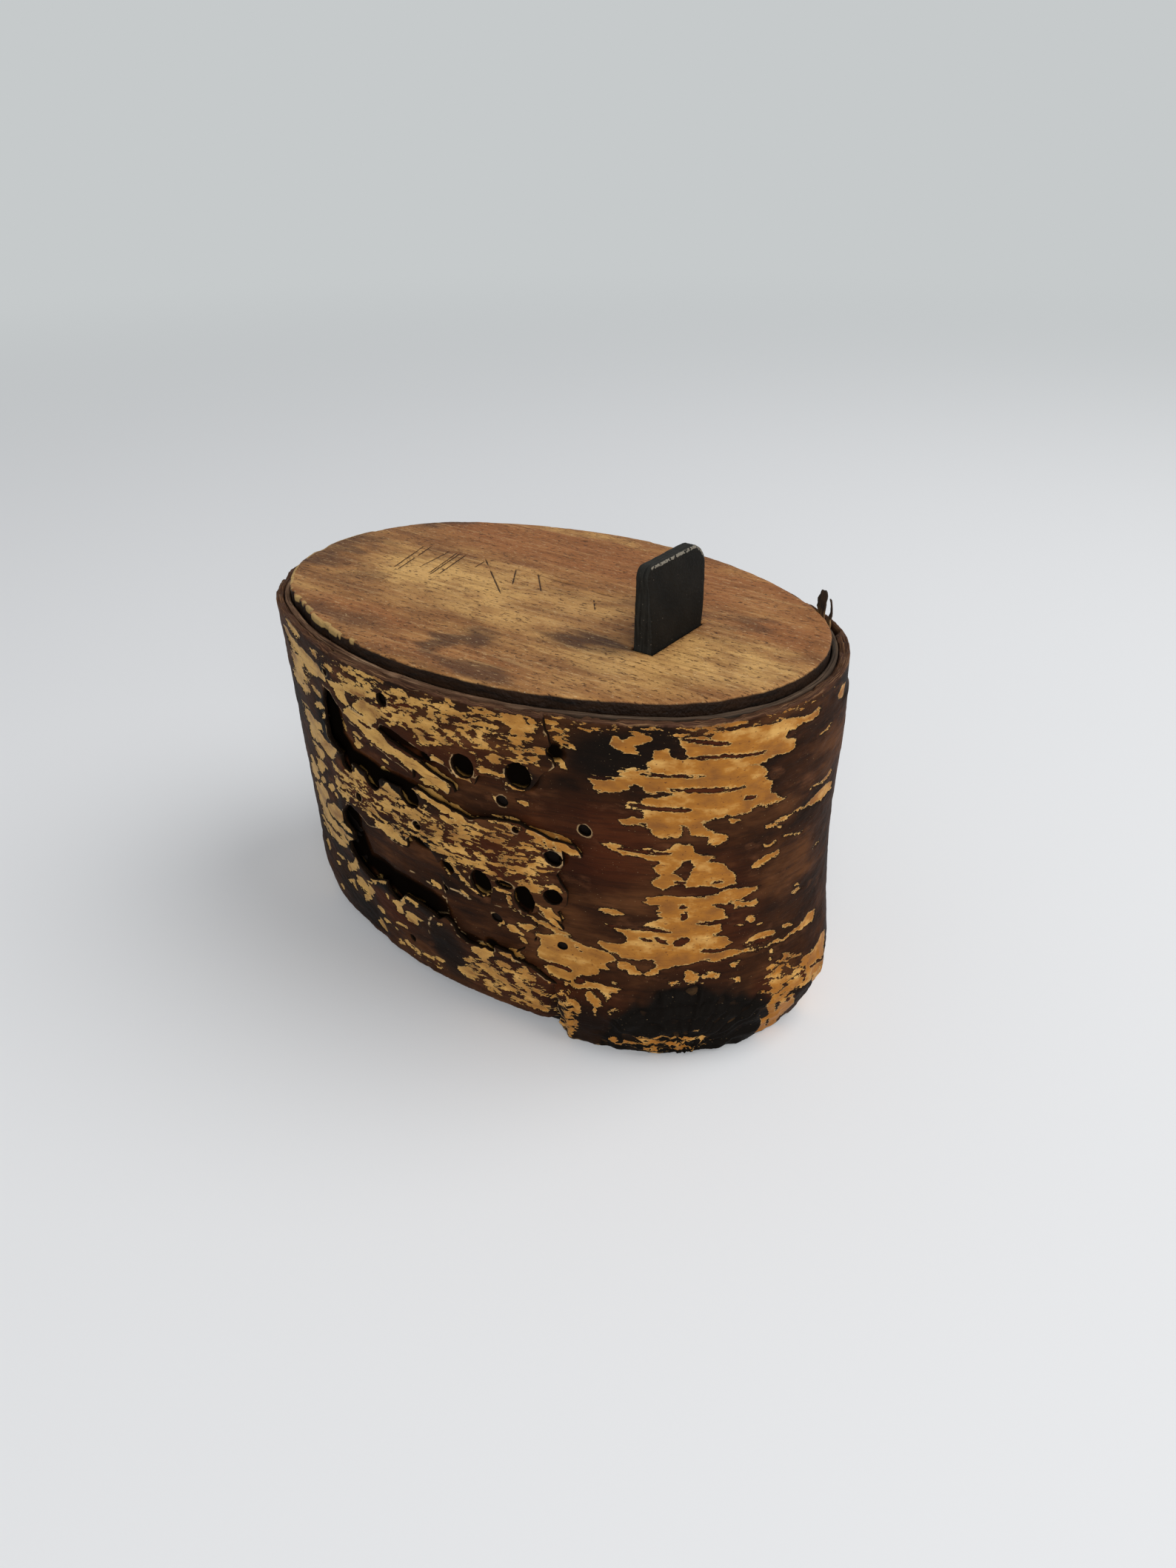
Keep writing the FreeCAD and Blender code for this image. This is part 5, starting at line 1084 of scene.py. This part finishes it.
def joint_line(x, y, half):
    """1 on the line where the worn part ends against a ridge of the grain, broken along its length."""
    start_x, start_y, slope = RIDGE
    away = y - start_y + (x - start_x) * slope
    return np.exp(-(away / half) ** 2) * smooth(2 * noise(x, x * 0, 9, 9, 119, 2) + 1.3 - np.abs(x - 8) / 18)


def lid_hollow(x, y):
    """How far the worn top lies below its highest plane, in millimetres."""
    grain = 0.045 * noise(x, y, 13, 0.9, 111, 3) + 0.05 * noise(x, y, 40, 12, 115, 2)
    hollow = 0.09 + 0.10 * tone(x, y, WORN_PLACES[:1], 117) + grain
    split = 0.3 * joint_line(x, y, 0.16)
    for x0, y0, x1, y1, deep in SCRATCHES:
        gap, share = to_segment(x, y, (x0, y0), (x1, y1))
        hollow = hollow + deep * scratched(gap, share, x0)
    return np.maximum(hollow + split, 0)


def scratched(gap, share, seed):
    """A scratch's depth from 0 to 1: broken along its length and fading at both ends."""
    broken = smooth(1.5 + 1.2 * noise(gap * 0 + share * 9, gap * 0 + seed, 1, 1, 121, 2))
    return smooth(share * 6) * smooth((1 - share) * 6) * broken * smooth(1 - gap / SCRATCH_HALF)


def make_lid():
    """The board with its slot: a worn, scratched top, and an arris that is chipped most at the left front."""
    w = np.arange(0, AROUND, LID_STEP)
    outline = wall(w, LID_LEVEL, -LID_INSET - ARRIS)[:, :2]
    ahead = np.roll(outline, -1, 0) - np.roll(outline, 1, 0)
    ahead /= np.hypot(*ahead.T)[:, None]
    inward = -np.stack([ahead[:, 1], -ahead[:, 0]], 1)
    bruised = smooth((-16 - outline[:, 0]) / 14) * (outline[:, 1] < 14)
    chips = 0.10 * noise(w, w * 0, 2.5, 9, 125, 3)
    chips += (0.25 + 0.35 * bruised) * smooth(noise(w, w * 0, 6, 9, 127, 2) * 3 - 1.2 + 0.8 * bruised)
    outline += inward * np.maximum(chips, -0.05)[:, None]
    nearby = [tuple(point) for gap in (0.35, 0.75) for point in (outline + inward * gap).tolist()]
    outline = [tuple(point) for point in outline.tolist()]
    (x0, y0), (x1, y1) = SLOT
    x0, y0, x1, y1 = x0 - ARRIS, y0 - ARRIS, x1 + ARRIS, y1 + ARRIS
    hole = finely([(x0, y0), (x1, y0), (x1, y1), (x0, y1)], 1)
    fine = [nearby, spaced_grid(LID_BOX, (0.9, 0.6), 0.45, outline + hole + nearby)]
    # Five rows of points along each scratch, so that it has a clean groove.
    for x0, y0, x1, y1, _ in SCRATCHES:
        length = math.hypot(x1 - x0, y1 - y0)
        along = np.linspace(0, 1, round(length / 0.45))[:, None]
        across = np.array([y0 - y1, x1 - x0]) / length
        for offset in (-0.34, -0.17, 0, 0.17, 0.34):
            fine.append(np.array([x0, y0]) + along * np.array([x1 - x0, y1 - y0]) + across * offset)
    fine = np.concatenate(fine).tolist()
    coarse = spaced_grid(LID_BOX, (6.0, 6.0), 3, outline + hole).tolist()

    def place(x, y, share, away):
        top = LID_TOP - lid_hollow(x, y) - 0.10 * np.exp(-away / 0.35)
        return np.stack([x, y, top - (1 - share) * LID_THICK], -1)

    rows = [(0.993, 0.3), (0.97, 0.46), (0.93, ARRIS), (0.8, 0.46), (0.6, ARRIS), (0.3, 0.47), (0.05, 0.45),
            (0, 0.1)]
    piece, x, y, share, away = make_slab("lid_worn_board", outline, [hole], fine, coarse, place, rows)
    bruised = smooth((-12 - x) / 16) * (y < 16)
    scratch = 0.4 * joint_line(x, y, 0.3)
    for x0, y0, x1, y1, deep in SCRATCHES:
        gap, run = to_segment(x, y, (x0, y0), (x1, y1))
        scratch = np.maximum(scratch, scratched(gap, run, x0) * (0.4 + 1.8 * deep))
    arris = np.exp(-away / (0.12 + 0.22 * bruised)) * (share > 0.9) * (0.2 + 0.8 * bruised)
    arris = arris * smooth(1.3 * noise(x, y, 2.4, 2.4, 137, 3) + 0.65)
    set_vectors(piece, "board", np.stack([x, y, share * LID_THICK], 1))
    marks = {"worn": tone(x, y, WORN_PLACES, 131), "stain": tone(x, y, STAINS, 133),
             "red": tone(x, y, RED_PLACES, 135), "top": share, "scratch": scratch * (share > 0.9),
             "arris": arris}
    for name, values in marks.items():
        set_numbers(piece, name, values)
    dress(piece, "lid", ["lid_board"], lid_material())


def lid_material():
    """Old hand-worn pine, darkened by hands and smoke: fine dark pores along the grain with painted
    highlights beside them and light flecks that are partly dust and partly painted glints, worn lighter in
    the middle, redder at the back, and a pale broken arris."""
    material, found = start_material("hand_worn_pine", "board", {
        "cloud": ((24, 8, 5), 5), "streaks": ((26, 1.2, 3), 4), "pores": ((1.5, 0.5, 1), 2),
        "dust_and_glints": ((0.55, 0.4, 0.6), 1), "side": ((9, 9, 1.2), 4), "blush": ((9, 4, 4), 3)},
        ("worn", "stain", "red", "top", "arris", "scratch"))
    base = add_node(material, "ShaderNodeValToRGB", {}, {0: found["cloud"]}, [
        (0.34, "#7A5130"), (0.5, "#A37344"), (0.66, "#C4955B")])
    base = lay(material, base, [
        (found["red"], [(0, 0.0), (1, 0.85)], "#9C6238"),
        (found["worn"], [(0, 0.0), (1, 0.9)], "#D9AB69"),
        (found["blush"], [(0.36, 0.5), (0.5, 0.0)], "#855530"),
        (found["stain"], [(0, 0.0), (1, 0.92)], "#4C3324"),
        (found["streaks"], [(0.32, 0.45), (0.5, 0.0)], "#6E4826"),
        (found["streaks"], [(0.55, 0.0), (0.70, 0.3)], "#DDB57C"),
        (found["pores"], [(0.34, 0.85), (0.41, 0.0)], "#472A15"),
        # Painted highlights beside the pores, then light flecks that are partly dust and partly painted
        # glints.
        (found["pores"], [(0.62, 0.0), (0.72, 0.4)], "#EBCB98"),
        (found["dust_and_glints"], [(0.76, 0.0), (0.80, 0.7)], "#F0DDB8"),
        (found["scratch"], [(0.1, 0.0), (0.5, 0.95)], "#2A1811")])
    dark = add_node(material, "ShaderNodeValToRGB", {}, {0: found["side"]}, [
        (0.3, "#0E0805"), (0.7, "#2C1B0E")])
    base = lay(material, base, [
        (found["top"], [(0.0, 0.6), (0.04, 0.0)], "#5A3D27"),
        (found["top"], [(0.01, 0.0), (0.05, 1.0), (0.95, 1.0), (0.99, 0.0)], dark),
        (found["arris"], [(0.34, 0.0), (0.62, 0.7)], "#C6A468")])
    return finish_material(material, {"Base Color": base, "Roughness": 0.6, "Specular IOR Level": 0.14}, [
        (found["pores"], 0.6, 0.8), (found["streaks"], 0.3, 0.5)])


# ---------------------------------------------------------------- the leather tab
# Its near and far edge (y), its foot and top (z), and how far the far edge leans out above the lid. Then its
# faces (x) and how far each moves towards the top, and the rounding of its edges and of its two top corners.
TAB_NEAR, TAB_FAR, TAB_FOOT, TAB_TOP, TAB_FLARE = -13.4, 7.1, 71.8, 108.2, 2.1
TAB_FACES, TAB_TAPER = (31.2, 36.2), (0.5, -1.2)
TAB_EDGE, FAR_ROUND, NEAR_ROUND = 0.7, 5.0, 1.6


def make_tab():
    """The tab: two grained faces a little drawn in towards the top, and a fibrous cut edge all round."""
    y0, z0, y1, z1 = TAB_NEAR + TAB_EDGE, TAB_FOOT + TAB_EDGE, TAB_FAR - TAB_EDGE, TAB_TOP - TAB_EDGE
    turns = np.linspace(0, math.pi / 2, 12)
    corners = [(y0, z0), (y1, z0), (y1, LID_TOP)]
    far_y, far_z = y1 + TAB_FLARE - FAR_ROUND, z1 - FAR_ROUND
    corners += [(far_y + FAR_ROUND * math.cos(turn), far_z + FAR_ROUND * math.sin(turn)) for turn in turns]
    near_y, near_z = y0 + NEAR_ROUND, z1 - NEAR_ROUND
    corners += [(near_y - NEAR_ROUND * math.sin(turn), near_z + NEAR_ROUND * math.cos(turn))
                for turn in turns]
    outline = ragged(corners, step=0.45, size=1.6, amount=0.09, seed=141)
    box = ((TAB_NEAR, TAB_FOOT), (TAB_FAR + TAB_FLARE, TAB_TOP))
    fine = spaced_grid(box, (0.5, 0.5), 0.3, outline).tolist()
    push = TAB_EDGE - 0.12

    def place(y, z, share, away):
        rise = smooth((z - LID_TOP) / (TAB_TOP - LID_TOP))
        dent = 0.06 * noise(y, z, 3.2, 3.2, 143, 3) + 0.14 * smooth(0.4 - noise(y, z, 14, 14, 147, 1)) + 0.02
        back, front = TAB_FACES[0] + TAB_TAPER[0] * rise + dent, TAB_FACES[1] + TAB_TAPER[1] * rise - dent
        return np.stack([back + (front - back) * share, y, z], -1)

    rows = [(0.985, 0.5), (0.95, 0.85), (0.88, 1), (0.75, 0.93), (0.62, 1), (0.5, 0.9), (0.38, 1),
            (0.25, 0.93), (0.12, 1), (0.05, 0.85), (0.015, 0.5), (0, 0)]
    rows = [(share, push * bulge) for share, bulge in rows]
    piece, y, z, share, away = make_slab("leather_tab", outline, [], fine, fine, place, rows)
    set_vectors(piece, "hide", np.stack([y, z, share * (TAB_FACES[1] - TAB_FACES[0])], 1))
    # A painted highlight as a pale line along the front face's arris near the top, but not down the near
    # edge.
    arris_highlight = np.exp(-(away / 0.22) ** 2) * (share > 0.9) * smooth((z - 101) / 4) * smooth((y + 12.4) / 0.6)
    set_numbers(piece, "arris_highlight", arris_highlight)
    set_numbers(piece, "cut", smooth((0.985 - share) / 0.04) * smooth((share - 0.015) / 0.04))
    dress(piece, "lid", ["handle_tab"], tab_material())


def tab_material():
    """Thick black harness leather, cut square: a dull grained face, a greyer fibrous cut edge, and a dotted
    pale line along the arris, a painted highlight."""
    material, found = start_material("black_harness_leather", "hide", {
        "cloud": ((6, 6, 6), 4), "dots": ((0.6, 0.6, 0.6), 2), "specks": ((0.5, 0.5, 0.5), 1),
        "fibres": ((5, 5, 0.5), 3)}, ("arris_highlight", "cut"))
    face = add_node(material, "ShaderNodeValToRGB", {}, {0: found["cloud"]}, [
        (0.3, "#0A0906"), (0.7, "#16130E")])
    edge = add_node(material, "ShaderNodeValToRGB", {}, {0: found["fibres"]}, [
        (0.3, "#0F0E0C"), (0.7, "#2A2925")])
    dotted = add_node(material, "ShaderNodeMath", {"operation": "MULTIPLY"}, {
        0: found["arris_highlight"], 1: found["dots"]})
    colour = lay(material, face, [
        (found["cut"], [(0, 0.0), (1, 1.0)], edge),
        # The painted highlight along the arris, in dots.
        (dotted, [(0.42, 0.0), (0.52, 1.0)], "#7E786C"),
        (found["specks"], [(0.73, 0.0), (0.77, 0.5)], "#6F655A")])
    return finish_material(material, {"Base Color": colour, "Roughness": 0.7, "Specular IOR Level": 0.14},
                           [(found["dots"], 0.3, 0.6)])


# ---------------------------------------------------------------- torn strips at the rim
# Outlines (along the rim, height). Then for each strip: the piece's name, its outline, the node it stands for
# and how far it leans out at the top.
WIDE_STRIP = [(136.2, 83), (139.8, 83), (140.2, 87.2), (139.6, 88.2), (140.2, 88.8), (139.7, 89.8),
              (140, 90.6), (139.2, 91.8), (138.8, 92.8), (137.9, 93), (137.1, 93.3), (136.3, 93.1),
              (135.9, 92.4)]
THIN_STRIP = [(132.4, 83), (134.8, 83), (134.8, 87.4), (133.4, 88.6), (132.1, 90.2), (131.8, 91.4),
              (132, 92.4), (132.6, 93), (131.9, 92.9), (131.3, 92), (131.1, 91), (131.4, 89.4), (132.2, 88)]


STRIPS_MADE = (("torn_strip_wide", WIDE_STRIP, "rim_strip_wide", 0.4),
               ("torn_strip_thin", THIN_STRIP, "rim_strip_thin", -0.2))


def make_strips():
    """The two shreds of bark that stand up from the crack between wrap and liner."""
    material = torn_bark_material()
    for name, outline, node, lean in STRIPS_MADE:
        loop = ragged(outline, step=0.3, size=0.9, amount=0.1, seed=151)
        fine = spaced_grid(((131, 83), (141, 94)), (0.3, 0.3), 0.15, loop).tolist()

        def place(w, z, share, away):
            rise = np.maximum(z - 86.5, 0)
            out = RIM_INSIDE + 0.35 * share + lean * (rise / 6) ** 2 + 0.08 * noise(w, z, 1.5, 1.5, 153, 2)
            return wall(w, z, out)

        piece, w, z, share, _ = make_slab(name, loop, [], fine, fine, place, [(0.5, 0.04), (0, 0)])
        set_vectors(piece, "sheet", np.stack([w, z, share], 1))
        set_numbers(piece, "root", smooth((89.5 - z) / 2))
        dress(piece, "box", [node], material)


def torn_bark_material():
    """Torn birch bark seen on its inner side: dark, fibrous along the tear, tan where it is freshly torn."""
    material, found = start_material("torn_birch_bark", "sheet", {"fibres": ((0.5, 3, 1), 4)}, ("root",))
    dark = add_node(material, "ShaderNodeValToRGB", {}, {0: found["fibres"]}, [
        (0.35, "#1B130E"), (0.65, "#43301F")])
    torn = add_node(material, "ShaderNodeValToRGB", {}, {0: found["fibres"]}, [
        (0.35, "#5A3420"), (0.65, "#A58358")])
    colour = lay(material, dark, [(found["root"], [(0, 0.0), (1, 1.0)], torn)])
    return finish_material(material, {"Base Color": colour, "Roughness": 0.8, "Specular IOR Level": 0.3},
                           [(found["fibres"], 0.2, 0.5)])


# ---------------------------------------------------------------- plain wooden parts
def wood_material(name, light, dark, grain):
    """Plain old softwood: straight grain along one axis, dull."""
    material, found = start_material(name, None, {"rings": (grain, 5)}, ())
    colour = add_node(material, "ShaderNodeValToRGB", {}, {0: found["rings"]}, [(0.3, dark), (0.7, light)])
    return finish_material(material, {"Base Color": colour, "Roughness": 0.7, "Specular IOR Level": 0.3},
                           [(found["rings"], 0.1, 0.5)])


def dress_wooden_nodes():
    """The plain wooden parts keep the model's own shapes and get a material only."""
    pine = wood_material("old_pine_board", "#9A7A54", "#5C4229", (30, 1.6, 4))
    birch = wood_material("whittled_birch_peg", "#7C6044", "#3A281B", (0.8, 8, 0.8))
    for node, material in (("bottom_board", pine), ("bottom_pegs", birch), ("tab_peg", birch)):
        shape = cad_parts[node]
        shape.data.materials.clear()
        shape.data.materials.append(material)


add_camera()
add_studio()
add_floor()
make_wrap()
make_liner()
make_lid()
make_tab()
make_strips()
dress_wooden_nodes()
